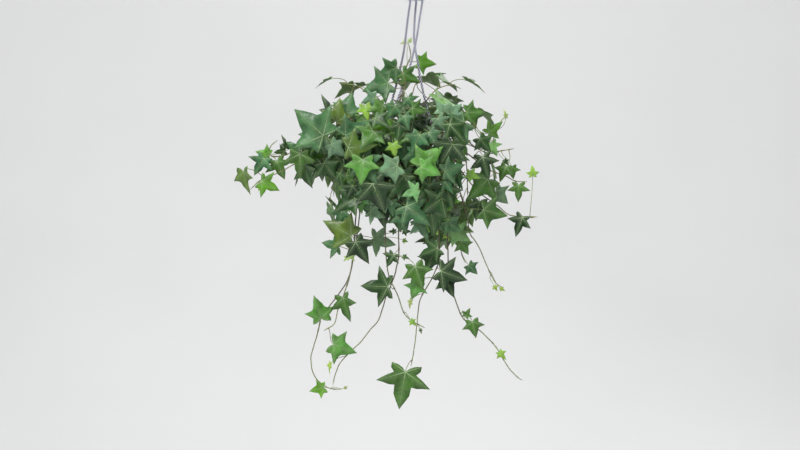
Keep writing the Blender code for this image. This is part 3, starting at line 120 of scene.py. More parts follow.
# Leaves that show from the front: x, z, how far out, length, heading of the tip, pitch, roll, tone
FRONT_LEAVES = (
    # top
    (-15, -124, 0, 9, 190, 0, 0, "pale"), (-10, -123, 0, 8, 60, 0, 0, "pale"),
    (5, -153, 0, 27, -8, 0, 0, "bright"), (-30, -162, 5, 33, 207, 0, 0, "teal"),
    (-42, -186, 4, 38, 196, 10, 0, "teal"), (-60, -207, 0, 24, 200, 0, 0, "grey"),
    (-19, -171, 0, 29, -32, 0, 0, "mid"), (-18, -186, 8, 18, -50, 0, 0, "fresh"),
    (-12, -207, 8, 21, -60, 10, 0, "teal"), (-31, -219, 6, 24, -120, 15, 0, "teal"),
    (-6, -222, 2, 22, -20, 0, 0, "mid"), (-18, -234, 10, 22, -70, 15, 0, "teal"),
    (-49, -219, 2, 24, 200, 10, 0, "mid"), (-25, -246, 8, 23, -95, 20, 0, "dark"),
    (-75, -219, 8, 22, -78, 20, 0, "lime"),
    # upper left
    (-102, -230, 0, 31, 76, -10, 0, "teal"), (-117, -241, 2, 35, 80, 0, 0, "olive"),
    (-128, -236, 0, 37, 100, 0, 65, "dark"), (-136, -262, 10, 58, 139, 0, 0, "teal"),
    (-132, -266, -8, 36, 202, 0, 10, "grey"), (-103, -262, 8, 43, 29, 5, 0, "teal"),
    (-124, -275, 6, 29, -43, 0, 25, "grey"), (-105, -266, -12, 26, -45, 0, 0, "dark"),
    (-42, -237, -8, 30, 220, 0, 0, "bright"),
    # left branch
    (-172, -290, 10, 38, -90, 5, 0, "mid"), (-166, -288, 6, 36, -10, 0, 0, "fresh"),
    (-174, -285, 2, 24, 150, 0, 0, "teal"), (-166, -309, -4, 35, -72, 0, 50, "dark"),
    (-135, -303, -6, 33, -56, 0, 20, "dark"), (-112, -318, -6, 22, -82, 0, 60, "dark"),
    (-195, -281, 0, 20, 96, 0, 70, "dark"), (-196, -286, -4, 17, 190, 0, 0, "dark"),
    (-219, -292, 0, 20, 165, 0, 0, "bright"), (-226, -297, 4, 29, -121, 0, 0, "teal"),
    (-207, -301, 2, 30, -69, 0, 0, "mid"), (-255, -316, 0, 36, -84, 0, 50, "olive"),
    (-228, -331, 2, 29, -28, 0, 0, "bright"), (-231, -340, 0, 6, -120, 0, 0, "young"),
    # middle
    (-78, -297, 16, 37, -94, 10, 0, "fresh"), (-76, -299, 8, 29, 98, 0, 0, "fresh"),
    (-28, -306, 12, 35, 202, 5, 0, "grey"), (-34, -274, 8, 21, -80, 0, 0, "lime"),
    (6, -305, 14, 41, 41, 0, 0, "fresh"), (6, -307, 18, 32, -23, 10, 0, "fresh"),
    (4, -261, 8, 30, -111, 15, 0, "teal"), (18, -258, 4, 24, -60, 15, 0, "teal"),
    (42, -297, 10, 27, 95, 0, 0, "fresh"), (60, -318, 8, 26, -80, 0, 50, "teal"),
    (75, -318, 6, 20, -20, 0, 0, "lime"), (2, -340, 14, 25, 203, 5, 0, "mint"),
    (25, -364, 18, 10, -90, 0, 0, "young"), (39, -361, 12, 34, 69, 0, 0, "bright"),
    # right
    (40, -228, 4, 21, 126, 0, 0, "grey"), (51, -229, 6, 21, 42, 0, 0, "grey"),
    (31, -237, 4, 24, -60, 10, 0, "grey"), (69, -243, 10, 38, 215, 5, 0, "teal"),
    (73, -228, 0, 26, -3, 0, 0, "mid"), (82, -230, 0, 24, -75, 0, 0, "mid"),
    (106, -259, 0, 26, 35, 0, 25, "bright"), (133, -236, 0, 12, 100, 0, 50, "pale"),
    (111, -274, 0, 21, -70, 0, 20, "mint"), (93, -267, 2, 26, -52, 0, 0, "dark"),
    (97, -294, 8, 33, -75, 5, 0, "deep"), (133, -309, 0, 24, -116, 0, 20, "mid"),
    (141, -310, 0, 18, -80, 0, 0, "mid"), (132, -300, 0, 11, -50, 0, 0, "dark"),
    (172, -322, 0, 16, 92, 0, 0, "lime"), (151, -336, 2, 24, -90, 0, 0, "mid"),
    (105, -327, 6, 43, 226, 5, 0, "mid"), (93, -360, 4, 30, -100, 5, 0, "dark"),
    (99, -372, 6, 36, -15, 0, 0, "mid"), (117, -346, -4, 28, -42, 0, 0, "grey"),
    (157, -384, 2, 28, -116, 0, 30, "deep"),
    # lower left
    (-99, -356, 8, 20, -88, 10, 0, "lime"), (-79, -352, 6, 24, -97, 0, 55, "fresh"),
    (-81, -336, 2, 24, 213, 0, 0, "dark"), (-69, -336, 10, 29, -20, 5, 0, "mid"),
    (-42, -352, 12, 30, 197, 5, 0, "grey"), (-67, -372, 12, 24, -24, 5, 0, "grey"),
    (-109, -372, 4, 26, -105, 5, 0, "teal"), (-96, -409, 6, 45, 152, 0, 0, "olive"),
    (-114, -425, 2, 27, 168, 0, 0, "teal"), (-89, -418, 2, 35, -58, 5, 0, "deep"),
    (-96, -438, 4, 10, -60, 0, 0, "pale"), (-101, -440, 4, 9, -130, 0, 0, "pale"),
    (-63, -414, 10, 35, -18, 5, 0, "grey"),
    # lower middle
    (6, -360, 6, 27, -125, 10, 0, "deep"), (3, -388, 8, 30, -60, 10, 0, "grey"),
    (-27, -378, 4, 26, -80, 10, 0, "dark"), (-19, -403, 2, 12, 0, 0, 0, "dark"),
    (-31, -403, 2, 10, 180, 0, 0, "dark"), (-19, -417, 2, 8, -20, 0, 0, "lime"),
    (-19, -438, 2, 9, -20, 0, 0, "mid"), (-33, -436, 2, 20, -125, 0, 30, "dark"),
    (18, -391, 6, 25, -50, 0, 0, "lime"), (43, -408, 6, 12, -60, 0, 0, "young"),
    (45, -388, 6, 29, -38, 0, 0, "teal"), (54, -403, 6, 33, -30, 0, 0, "mint"),
    (67, -421, 4, 22, -62, 0, 0, "mid"), (-2, -452, 10, 35, -72, 5, 0, "mid"),
    (30, -426, 6, 30, 205, 0, 0, "dark"), (24, -436, 4, 30, -110, 0, 0, "dark"),
    (36, -459, 8, 42, -20, 0, 0, "deep"), (42, -470, 10, 30, -65, 5, 0, "deep"),
    (1, -478, 4, 24, -110, 0, 0, "fresh"), (-7, -502, 2, 14, -110, 0, 60, "pale"),
    (78, -455, 2, 18, -45, 0, 0, "teal"),
    # on the trailing stems
    (-141, -531, 4, 35, 103, 0, 35, "fresh"), (-107, -500, 4, 36, -77, 0, 40, "mid"),
    (-137, -635, 4, 21, 195, 0, 0, "bright"), (-106, -636, 2, 6, 30, 0, 0, "pale"),
    (-42, -482, 8, 39, 178, 0, 0, "dark"), (-121, -568, 8, 37, -22, 5, 0, "fresh"),
    (-125, -596, 4, 16, -105, 0, 60, "young"), (-8, -533, 4, 12, -45, 0, 0, "lime"),
    (6, -546, 2, 8, -80, 0, 40, "olive"), (-16, -607, 4, 53, -100, 5, 0, "mid"),
    (72, -527, 4, 14, 60, 0, 0, "mid"), (82, -535, 4, 24, -78, 0, 0, "mid"),
    (122, -580, 4, 15, -50, 0, 0, "lime"), (115, -484, 2, 9, -60, 0, 0, "young"),
    (124, -487, 2, 8, -30, 0, 0, "young"),
)


class Tone(Enum):
    """Colour of a leaf's upper side, as red, green and blue on a screen; TEAL and GREY hold painted sheen as
    well.
    """

    DEEP = (22, 54, 18)
    DARK = (32, 72, 20)
    # TEAL and GREY: leaf green with painted sheen, the bluish and greyish cast of the gloss laid into the colour.
    TEAL = (60, 106, 62)
    GREY = (100, 136, 100)
    MID = (64, 110, 32)
    OLIVE = (84, 112, 34)
    FRESH = (88, 146, 56)
    MINT = (122, 176, 104)
    BRIGHT = (92, 152, 28)
    LIME = (140, 188, 62)
    YOUNG = (176, 208, 70)
    PALE = (176, 198, 110)


def linear(colour: Sequence[float]) -> tuple[float, float, float]:
    """Scene-linear values of a screen colour.

    Args:
        colour: Red, green and blue from 0 to 255.

    Returns:
        The same colour as linear values from 0 to 1.
    """
    return tuple(
        value / 255 / 12.92 if value <= 10.3 else ((value / 255 + 0.055) / 1.055) ** 2.4
        for value in colour
    )


def turned(vector: Vector, degrees: float, axis: Vector = UP) -> Vector:
    """A vector turned about an axis by an angle in degrees."""
    return Quaternion(axis, math.radians(degrees)) @ vector


def finished(name: str, bm: bmesh.types.BMesh, finishes: Iterable[bpy.types.Material]) -> bpy.types.Object:
    """Turns a bmesh into an object at the origin, shaded smooth.

    Args:
        name: Name of the object.
        bm: The shape, which is used up.
        finishes: Materials, in the order of the faces' material numbers.

    Returns:
        The new object.
    """
    mesh = bpy.data.meshes.new(name)
    bm.to_mesh(mesh)
    bm.free()
    for finish in finishes:
        mesh.materials.append(finish)
    mesh.shade_smooth()
    piece = bpy.data.objects.new(name, mesh)
    bpy.context.scene.collection.objects.link(piece)
    return piece


def outward(bm: bmesh.types.BMesh) -> None:
    """Turns a closed shape's faces outwards."""
    bmesh.ops.recalc_face_normals(bm, faces=bm.faces)
    if bm.calc_volume(signed=True) < 0.0:
        bmesh.ops.reverse_faces(bm, faces=bm.faces)


def spun(profile: Sequence[tuple[float, float]], steps: int, centre: Vector) -> bmesh.types.BMesh:
    """A closed shape turned about an upright axis.

    Args:
        profile: Radius and height of each corner, from the axis back to the axis.
        steps: Number of facets round the axis.
        centre: A point on the axis.

    Returns:
        The shape, with its faces outwards.
    """
    bm = bmesh.new()
    corners = [bm.verts.new((radius, 0.0, z)) for radius, z in profile]
    edges = [bm.edges.new(pair) for pair in zip(corners, corners[1:])]
    bmesh.ops.spin(bm, geom=corners + edges, axis=UP, cent=(0, 0, 0), angle=math.tau, steps=steps,
                   use_merge=True, use_duplicate=False)
    bmesh.ops.remove_doubles(bm, verts=bm.verts, dist=1e-6)
    bmesh.ops.translate(bm, verts=bm.verts, vec=(centre.x, centre.y, 0.0))
    outward(bm)
    return bm


def swept(rings: Sequence[tuple[Vector, Vector, Vector, Sequence[tuple[float, float]]]],
          tints: Sequence[Sequence[float]] = (), crests: Sequence[float] = ()) -> bmesh.types.BMesh:
    """A closed tube extruded from ring to ring.

    Args:
        rings: For each ring its centre, its two axes across the tube, and its corners along them.
        tints: A colour for each ring, kept as "tint".
        crests: A value for each corner of a ring, kept as "crest".

    Returns:
        The tube, closed at both ends, with its faces outwards.
    """
    bm = bmesh.new()
    tint = bm.verts.layers.float_color.new("tint") if tints else None
    crest = bm.verts.layers.float.new("crest") if crests else None
    middle, side, other, corners = rings[0]
    verts = [bm.verts.new(middle + side * a + other * b) for a, b in corners]
    edges = list(bm.faces.new(verts).edges)
    for i, (middle, side, other, corners) in enumerate(rings):
        if i:
            made = bmesh.ops.extrude_edge_only(bm, edges=edges)["geom"]
            edges = [item for item in made if isinstance(item, bmesh.types.BMEdge)]
            fresh = {item for item in made if isinstance(item, bmesh.types.BMVert)}
            verts = [next(e.other_vert(v) for e in v.link_edges if e.other_vert(v) in fresh) for v in verts]
        for k, (vert, (a, b)) in enumerate(zip(verts, corners)):
            vert.co = middle + side * a + other * b
            if tint is not None:
                vert[tint] = (*tints[i], 1.0)
            if crest is not None:
                vert[crest] = crests[k]
    bmesh.ops.contextual_create(bm, geom=edges)
    outward(bm)
    return bm


def circle(radius: float, sides: int, turn: float = 0.0) -> list[tuple[float, float]]:
    """Corners of a round section."""
    angles = [math.tau * i / sides + turn for i in range(sides)]
    return [(radius * math.cos(angle), radius * math.sin(angle)) for angle in angles]


class Path:
    """A smooth curve through route points, with a frame that doesn't twist along it."""

    def __init__(self, route: Sequence[Vector], step: float = 0.003) -> None:
        """Lays the curve.

        Args:
            route: Points that it goes through.
            step: Distance between the points that are kept of it.
        """
        self.points: list[Vector] = []
        ends = [route[0] * 2 - route[1], *route, route[-1] * 2 - route[-2]]
        for before, start, end, after in zip(ends, ends[1:], ends[2:], ends[3:]):
            count = max(2, round((end - start).length / step))
            for i in range(count):
                t = i / count
                self.points.append(0.5 * (
                    2 * start + (end - before) * t
                    + (2 * before - 5 * start + 4 * end - after) * t * t
                    + (3 * start - before - 3 * end + after) * t * t * t
                ))
        self.points.append(route[-1].copy())
        self.marks = [0.0]
        for a, b in zip(self.points, self.points[1:]):
            self.marks.append(self.marks[-1] + (b - a).length)
        self.length = self.marks[-1]
        last = len(self.points) - 1
        self.tangents = [
            (self.points[min(i + 1, last)] - self.points[max(i - 1, 0)]).normalized()
            for i in range(last + 1)
        ]
        normal = self.tangents[0].orthogonal().normalized()
        self.normals = [normal]
        for a, b in zip(self.tangents, self.tangents[1:]):
            normal = a.rotation_difference(b) @ normal
            self.normals.append((normal - b * normal.dot(b)).normalized())

    def at(self, mark: float) -> tuple[Vector, Vector, Vector]:
        """Point, tangent and normal of the curve.

        Args:
            mark: Distance along the curve.

        Returns:
            The point and two unit vectors.
        """
        mark = min(max(mark, 0.0), self.length)
        i = 0
        while i < len(self.marks) - 2 and self.marks[i + 1] < mark:
            i += 1
        t = (mark - self.marks[i]) / (self.marks[i + 1] - self.marks[i])
        tangent = self.tangents[i].lerp(self.tangents[i + 1], t).normalized()
        normal = self.normals[i].lerp(self.normals[i + 1], t)
        normal = (normal - tangent * normal.dot(tangent)).normalized()
        return self.points[i].lerp(self.points[i + 1], t), tangent, normal


class Graph:
    """A material's node tree, built by short calls that return sockets."""

    def __init__(self, name: str) -> None:
        """Starts a material with a Principled shader."""
        self.material = bpy.data.materials.new(name)
        self.material.use_nodes = True
        self.tree = self.material.node_tree
        self.shader = self.tree.nodes["Principled BSDF"]

    def node(self, kind: str, **settings: object) -> bpy.types.Node:
        """Adds a node and sets its own settings."""
        made = self.tree.nodes.new(kind)
        for name, value in settings.items():
            setattr(made, name, value)
        return made

    def feed(self, socket: bpy.types.NodeSocket, value: object) -> None:
        """Links a socket to an input, or sets the input to a plain value."""
        if isinstance(value, bpy.types.NodeSocket):
            self.tree.links.new(value, socket)
        elif value is not None:
            socket.default_value = value

    def math(self, operation: str, a: object, b: object = None, c: object = None) -> bpy.types.NodeSocket:
        """Result of a Math node."""
        made = self.node("ShaderNodeMath", operation=operation)
        for socket, value in zip(made.inputs, (a, b, c)):
            self.feed(socket, value)
        return made.outputs[0]

    def ramp(self, value: object, low: float, high: float, to_low: float = 0.0,
             to_high: float = 1.0) -> bpy.types.NodeSocket:
        """A value mapped smoothly from one range to another.

        Args:
            value: What is mapped.
            low: Value that gives to_low.
            high: Value that gives to_high.
            to_low: Result at low.
            to_high: Result at high.

        Returns:
            The mapped value, which stays between the two results.
        """
        made = self.node("ShaderNodeMapRange", interpolation_type="SMOOTHSTEP")
        for socket, item in zip(made.inputs, (value, low, high, to_low, to_high)):
            self.feed(socket, item)
        return made.outputs[0]

    def mix(self, share: object, a: object, b: object, blend: str = "MIX") -> bpy.types.NodeSocket:
        """Result of mixing two colours."""
        made = self.node("ShaderNodeMix", data_type="RGBA", blend_type=blend)
        for name, value in (("Factor_Float", share), ("A_Color", a), ("B_Color", b)):
            self.feed(next(s for s in made.inputs if s.identifier == name), value)
        return next(s for s in made.outputs if s.identifier == "Result_Color")

    def noise(self, place: object, scale: float, detail: float = 3.0,
              rough: float = 0.55) -> bpy.types.NodeSocket:
        """Strength of a Noise texture at a place."""
        made = self.node("ShaderNodeTexNoise")
        self.feed(made.inputs["Vector"], place)
        for name, value in (("Scale", scale), ("Detail", detail), ("Roughness", rough)):
            made.inputs[name].default_value = value
        return made.outputs["Fac"]

    def place(self) -> bpy.types.NodeSocket:
        """Object coordinates."""
        return self.node("ShaderNodeTexCoord").outputs["Object"]

    def attribute(self, name: str) -> bpy.types.NodeSocket:
        """Colour of a mesh attribute."""
        return self.node("ShaderNodeAttribute", attribute_name=name).outputs["Color"]

    def bump(self, height: object, distance: float, strength: float = 1.0) -> None:
        """Feeds a height, in shares of a distance in metres, to the shader's normal."""
        made = self.node("ShaderNodeBump")
        made.inputs["Strength"].default_value = strength
        made.inputs["Distance"].default_value = distance
        self.feed(made.inputs["Height"], height)
        self.feed(self.shader.inputs["Normal"], made.outputs[0])

    def finish(self, **values: object) -> bpy.types.Material:
        """Sets the shader's inputs, with spaces written as underscores, and returns the material."""
        for name, value in values.items():
            if isinstance(value, tuple) and len(value) == 3:
                value = (*value, 1.0)
            self.feed(self.shader.inputs[name.replace("_", " ")], value)
        return self.material


@dataclass(frozen=True)
class LeafFinish:
    """Waxy skin of a leaf: pale veins over a blade in the leaf's own tint, with pale bluish specks of painted
    sheen.
    """

    name: str
    vein_angles: tuple[float, ...] = (0.0, 63.0, 116.0)
    vein_width: float = 0.017
    vein_colour: tuple[int, int, int] = (176, 204, 150)
    vein_strength: float = 0.62
    branch_spacing: float = 0.135
    branch_strength: float = 0.30
    gloss: float = 0.40
    shine: float = 0.42
    relief: float = 0.0006
    under: bool = False

    def veins(self, graph: Graph) -> tuple[bpy.types.NodeSocket, bpy.types.NodeSocket, bpy.types.NodeSocket]:
        """Patterns of the veins, worked out from the leaf's own UV map.

        Args:
            graph: The material's nodes.

        Returns:
            The main veins, their branches, and the distance to the nearest main vein.
        """
        uv = graph.node("ShaderNodeUVMap", uv_map="leaf").outputs[0]
        split = graph.node("ShaderNodeSeparateXYZ")
        graph.feed(split.inputs[0], uv)
        across = graph.math("ABSOLUTE", graph.math("SUBTRACT", split.outputs[0], 0.5))
        along = graph.math("SUBTRACT", split.outputs[1], 0.5)
        nearest, reach = 9.0, 0.0
        for angle in self.vein_angles:
            ahead, aside = math.cos(math.radians(angle)), math.sin(math.radians(angle))
            onward = graph.math("ADD", graph.math("MULTIPLY", along, ahead),
                                graph.math("MULTIPLY", across, aside))
            off = graph.math("ABSOLUTE", graph.math("SUBTRACT", graph.math("MULTIPLY", across, ahead),
                                                    graph.math("MULTIPLY", along, aside)))
            behind = graph.math("MULTIPLY", graph.math("LESS_THAN", onward, 0.0), 9.0)
            off = graph.math("ADD", off, behind)
            closer = graph.math("LESS_THAN", off, nearest)
            if isinstance(reach, float):
                reach = onward
            else:
                step = graph.math("MULTIPLY", graph.math("SUBTRACT", onward, reach), closer)
                reach = graph.math("ADD", reach, step)
            nearest = graph.math("MINIMUM", off, nearest)
        width = graph.ramp(reach, 0.0, 0.5, self.vein_width, self.vein_width * 0.30)
        main = graph.math("SUBTRACT", 1.0, graph.ramp(graph.math("DIVIDE", nearest, width), 0.25, 1.0))
        wobble = graph.math("MULTIPLY", graph.noise(uv, 9.0), 0.05)
        slant = graph.math("SUBTRACT", graph.math("ADD", reach, wobble),
                           graph.math("MULTIPLY", nearest, 0.85))
        wave = graph.math("PINGPONG", slant, self.branch_spacing / 2)
        line = graph.math("SUBTRACT", 1.0, graph.ramp(wave, 0.001, 0.012))
        fade = graph.ramp(nearest, 0.02, 0.16, 1.0, 0.0)
        return main, graph.math("MULTIPLY", line, fade), nearest

    def make(self) -> bpy.types.Material:
        """Builds the material."""
        graph = Graph(self.name)
        place = graph.place()
        main, branches, nearest = self.veins(graph)
        tint = graph.attribute("tint")
        patches = graph.ramp(graph.noise(place, 60.0, 4.0), 0.35, 0.68, 0.66, 1.30)
        tone = graph.mix(1.0, tint, patches, "MULTIPLY")
        # Painted sheen: small pale bluish specks, as the waxy skin's gloss would show.
        painted_sheen_specks = graph.ramp(graph.noise(place, 420.0, 3.0, 0.6), 0.40, 0.66, 0.0, 0.30)
        tone = graph.mix(painted_sheen_specks, tone, graph.mix(1.0, tint, (1.5, 1.45, 1.7, 1.0), "MULTIPLY"))
        between = graph.ramp(nearest, 0.02, 0.16, 0.10, 0.0)
        tone = graph.mix(between, tone, (*linear(self.vein_colour), 1.0))
        pale = graph.mix(0.5, tone, (*linear(self.vein_colour), 1.0))
        tone = graph.mix(graph.math("MULTIPLY", branches, self.branch_strength), tone, pale)
        tone = graph.mix(graph.math("MULTIPLY", main, self.vein_strength), tone,
                         (*linear(self.vein_colour), 1.0))
        if self.under:
            tone = graph.mix(0.42, tone, (*linear((150, 178, 122)), 1.0))
        sign = 1.0 if self.under else -0.35
        height = graph.math("MULTIPLY", graph.math("ADD", main, graph.math("MULTIPLY", branches, 0.5)), sign)
        height = graph.math("ADD", height, graph.math("MULTIPLY", graph.noise(place, 300.0), 0.55))
        graph.bump(height, self.relief, 0.75)
        rough = graph.ramp(graph.noise(place, 140.0), 0.30, 0.70, self.gloss - 0.09, self.gloss + 0.12)
        return graph.finish(Base_Color=tone, Roughness=rough, Specular_IOR_Level=self.shine)


@dataclass(frozen=True)
class StemFinish:
    """Bark of stems and stalks, in the tint that each stretch has, blotched, streaked and finely bumped."""

    name: str = "ivy_stem"
    rough: float = 0.55
    relief: float = 0.0004

    def make(self) -> bpy.types.Material:
        """Builds the material."""
        graph = Graph(self.name)
        place = graph.place()
        tint = graph.attribute("tint")
        blotch = graph.ramp(graph.noise(place, 260.0, 4.0), 0.35, 0.65, 0.60, 1.35)
        tone = graph.mix(1.0, tint, blotch, "MULTIPLY")
        streak = graph.ramp(graph.noise(place, 900.0, 2.0), 0.45, 0.70, 0.0, 0.5)
        tone = graph.mix(streak, tone, (*linear((96, 84, 66)), 1.0))
        graph.bump(graph.noise(place, 1100.0, 3.0), self.relief, 0.8)
        rough = graph.ramp(graph.noise(place, 500.0), 0.3, 0.7, self.rough - 0.1, self.rough + 0.15)
        return graph.finish(Base_Color=tone, Roughness=rough)


@dataclass(frozen=True)
class MouldedFinish:
    """Moulded plastic with fine grain, and faint scuffs and flecks in random clouds."""

    name: str
    colour: tuple[int, int, int]
    scuff: tuple[int, int, int]
    rough: float
    grain: float = 1600.0
    relief: float = 0.00008

    def make(self) -> bpy.types.Material:
        """Builds the material."""
        graph = Graph(self.name)
        place = graph.place()
        cloud = graph.ramp(graph.noise(place, 38.0, 5.0, 0.6), 0.40, 0.75, 0.0, 0.45)
        tone = graph.mix(cloud, (*linear(self.colour), 1.0), (*linear(self.scuff), 1.0))
        fleck = graph.ramp(graph.noise(place, 700.0, 2.0), 0.62, 0.78, 0.0, 0.35)
        tone = graph.mix(fleck, tone, (*linear(self.scuff), 1.0))
        graph.bump(graph.noise(place, self.grain, 2.0), self.relief, 0.6)
        rough = graph.ramp(graph.noise(place, 90.0, 4.0), 0.3, 0.7, self.rough - 0.08, self.rough + 0.14)
        return graph.finish(Base_Color=tone, Roughness=rough)


@dataclass(frozen=True)
class CordFinish:
    """Pale twisted plastic strands, with shade painted dark in the grooves where they meet."""

    name: str = "cord_strands"
    colour: tuple[int, int, int] = (222, 222, 236)
    painted_groove_shade: tuple[int, int, int] = (44, 42, 74)
    shade: tuple[int, int, int] = (168, 168, 204)

    def make(self) -> bpy.types.Material:
        """Builds the material. The attribute "crest" is 1 on a strand's crest and 0 where strands meet, where
        shade is painted dark.
        """
        graph = Graph(self.name)
        place = graph.place()
        crest = graph.attribute("crest")
        # Painted shade: the strands' own pale colour on their crests, darkened where they meet.
        share = graph.ramp(crest, 0.34, 0.80)
        tone = graph.mix(share, (*linear(self.painted_groove_shade), 1.0), (*linear(self.colour), 1.0))
        cloud = graph.ramp(graph.noise(place, 240.0, 3.0), 0.4, 0.7, 0.0, 0.30)
        tone = graph.mix(cloud, tone, graph.mix(share, tone, (*linear(self.shade), 1.0)))
        graph.bump(graph.noise(place, 1500.0, 2.0), 0.00006, 0.6)
        return graph.finish(Base_Color=tone, Roughness=graph.ramp(cloud, 0.0, 0.3, 0.30, 0.42))


@dataclass(frozen=True)
class SoilFinish:
    """Damp peat, dark brown, with fibres and paler crumbs."""

    name: str = "peat"

    def make(self) -> bpy.types.Material:
        """Builds the material."""
        graph = Graph(self.name)
        place = graph.place()
        crumbs = graph.ramp(graph.noise(place, 520.0, 6.0, 0.7), 0.36, 0.66)
        tone = graph.mix(crumbs, (*linear((32, 24, 18)), 1.0), (*linear((98, 72, 50)), 1.0))
        fibre = graph.ramp(graph.noise(place, 1500.0, 3.0), 0.60, 0.72, 0.0, 0.6)
        tone = graph.mix(fibre, tone, (*linear((146, 116, 82)), 1.0))
        graph.bump(graph.noise(place, 700.0, 6.0, 0.7), 0.0012, 1.0)
        return graph.finish(Base_Color=tone, Roughness=graph.ramp(crumbs, 0.0, 1.0, 0.75, 0.98))


@dataclass(frozen=True)
class Pot:
    """The moulded pot: a tapered wall with ribs, a rolled rim, a foot ring and drain holes."""

    x: float = -0.022
    rim_top: float = -0.290
    rim_radius: float = 0.065
    rim_height: float = 0.012
    rim_thickness: float = 0.0035
    rounding: float = 0.0008
    height: float = 0.085
    base_radius: float = 0.044
    wall: float = 0.002
    foot_height: float = 0.002
    foot_width: float = 0.004
    drain_radius: float = 0.0035
    drain_ring: float = 0.024
    drain_count: int = 5
    soil_depth: float = 0.014
    soil_crown: float = 0.004
    soil_side_gap: float = 0.0005
    steps: int = 96
    rib_count: int = 24
    rib_depth: float = 0.00035

    def around(self, radius: float, degrees: float, z: float) -> Vector:
        """A point at a radius and bearing from the pot's axis."""
        angle = math.radians(degrees)
        return Vector((self.x + radius * math.cos(angle), radius * math.sin(angle), z))

    def inner_floor(self) -> float:
        """Height of the floor inside."""
        return self.rim_top - self.height + self.foot_height + self.wall

    def inner_radius(self, z: float) -> float:
        """Radius inside the tapered wall at a height."""
        shoulder = self.rim_top - self.rim_height
        share = (z - self.inner_floor()) / (shoulder - self.inner_floor())
        return self.base_radius - self.wall + (self.rim_radius - self.rim_thickness - self.base_radius) * share

    def soil_height(self, radius: float) -> float:
        """Height of the soil's top at a distance from the axis."""
        share = radius / self.inner_radius(self.rim_top - self.soil_depth)
        return self.rim_top - self.soil_depth + self.soil_crown * (1.0 - share * share)

    def clear(self, point: Vector, gap: float = 0.004) -> Vector:
        """A route point moved outwards until it passes the pot and its rim."""
        away = Vector((point.x - self.x, point.y, 0.0))
        least = self.rim_radius + gap
        if point.z > self.rim_top + gap or point.z < self.rim_top - self.height - gap or away.length >= least:
            return point
        away.normalize()
        return Vector((self.x + away.x * least, away.y * least, point.z))

    def build(self) -> bpy.types.Object:
        """Builds the pot and dresses it.

        Returns:
            The pot, which stands for its solid.
        """
        top, bottom = self.rim_top, self.rim_top - self.height
        neck = self.rim_radius - self.rim_thickness
        under = top - self.rim_height
        foot_in = self.base_radius - self.foot_width
        soft = self.rounding
        hole_in, hole_out = self.drain_ring - self.drain_radius, self.drain_ring + self.drain_radius
        profile = [
            (0.0, bottom + self.foot_height), (hole_in, bottom + self.foot_height),
            (hole_out, bottom + self.foot_height), (foot_in, bottom + self.foot_height),
            (foot_in + soft / 2, bottom), (self.base_radius - soft, bottom),
            (self.base_radius, bottom + soft), (self.base_radius + 0.0010, bottom + 0.006),
        ]
        for share in (0.2, 0.4, 0.6, 0.8, 0.92):
            z = bottom + (under - bottom) * share
            profile.append((self.base_radius + (neck - self.base_radius) * share, z))
        profile += [
            (neck, under - soft), (self.rim_radius - soft, under), (self.rim_radius, under + soft),
            (self.rim_radius - 0.0003, under + self.rim_height * 0.5), (self.rim_radius, top - soft * 2),
            (self.rim_radius - soft * 0.4, top - soft * 0.4), (self.rim_radius - soft * 1.5, top),
            (neck + soft, top), (neck, top - soft), (neck, under + self.wall + soft),
            (neck - self.wall, under), (self.base_radius - self.wall + soft, self.inner_floor() + soft),
            (self.base_radius - self.wall - soft, self.inner_floor()), (0.0, self.inner_floor()),
        ]
        bm = spun(profile, self.steps, Vector((self.x, 0.0, 0.0)))
        for vert in bm.verts:
            away = Vector((vert.co.x - self.x, vert.co.y, 0.0))
            outside = away.length > self.inner_radius(vert.co.z) + self.wall * 0.6
            if outside and bottom + 0.008 < vert.co.z < under - 0.004:
                turn = math.atan2(away.y, away.x)
                rib = max(0.0, math.cos(turn * self.rib_count)) ** 4
                vert.co -= away.normalized() * self.rib_depth * (1.0 - rib)
        piece = finished("pot_shell", bm, [MouldedFinish("pot_black", (28, 29, 28), (62, 62, 58), 0.46).make()])
        for i in range(self.drain_count):
            place = self.around(self.drain_ring, 360.0 * i / self.drain_count, 0.0)
            low, high = bottom - 0.002, self.inner_floor() + 0.002
            post = spun([(0.0, low), (self.drain_radius, low), (self.drain_radius, high), (0.0, high)], 24, place)
            cut_away(piece, post)
        piece.data.set_sharp_from_angle(angle=math.radians(40))
        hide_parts("pot")
        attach(piece, ROOT_BODY)
        return piece


def cut_away(piece: bpy.types.Object, cutter_shape: bmesh.types.BMesh) -> None:
    """Cuts a closed shape out of a piece.

    Args:
        piece: The piece, whose mesh is changed.
        cutter_shape: What is taken away, which is used up.
    """
    cutter = finished("cutter", cutter_shape, [])
    step = piece.modifiers.new("cut", "BOOLEAN")
    step.operation = "DIFFERENCE"
    step.object = cutter
    step.solver = "EXACT"
    view = bpy.context.evaluated_depsgraph_get()
    mesh = bpy.data.meshes.new_from_object(piece.evaluated_get(view))
    piece.modifiers.clear()
    piece.data = mesh
    bpy.data.objects.remove(cutter)
    mesh.shade_smooth()


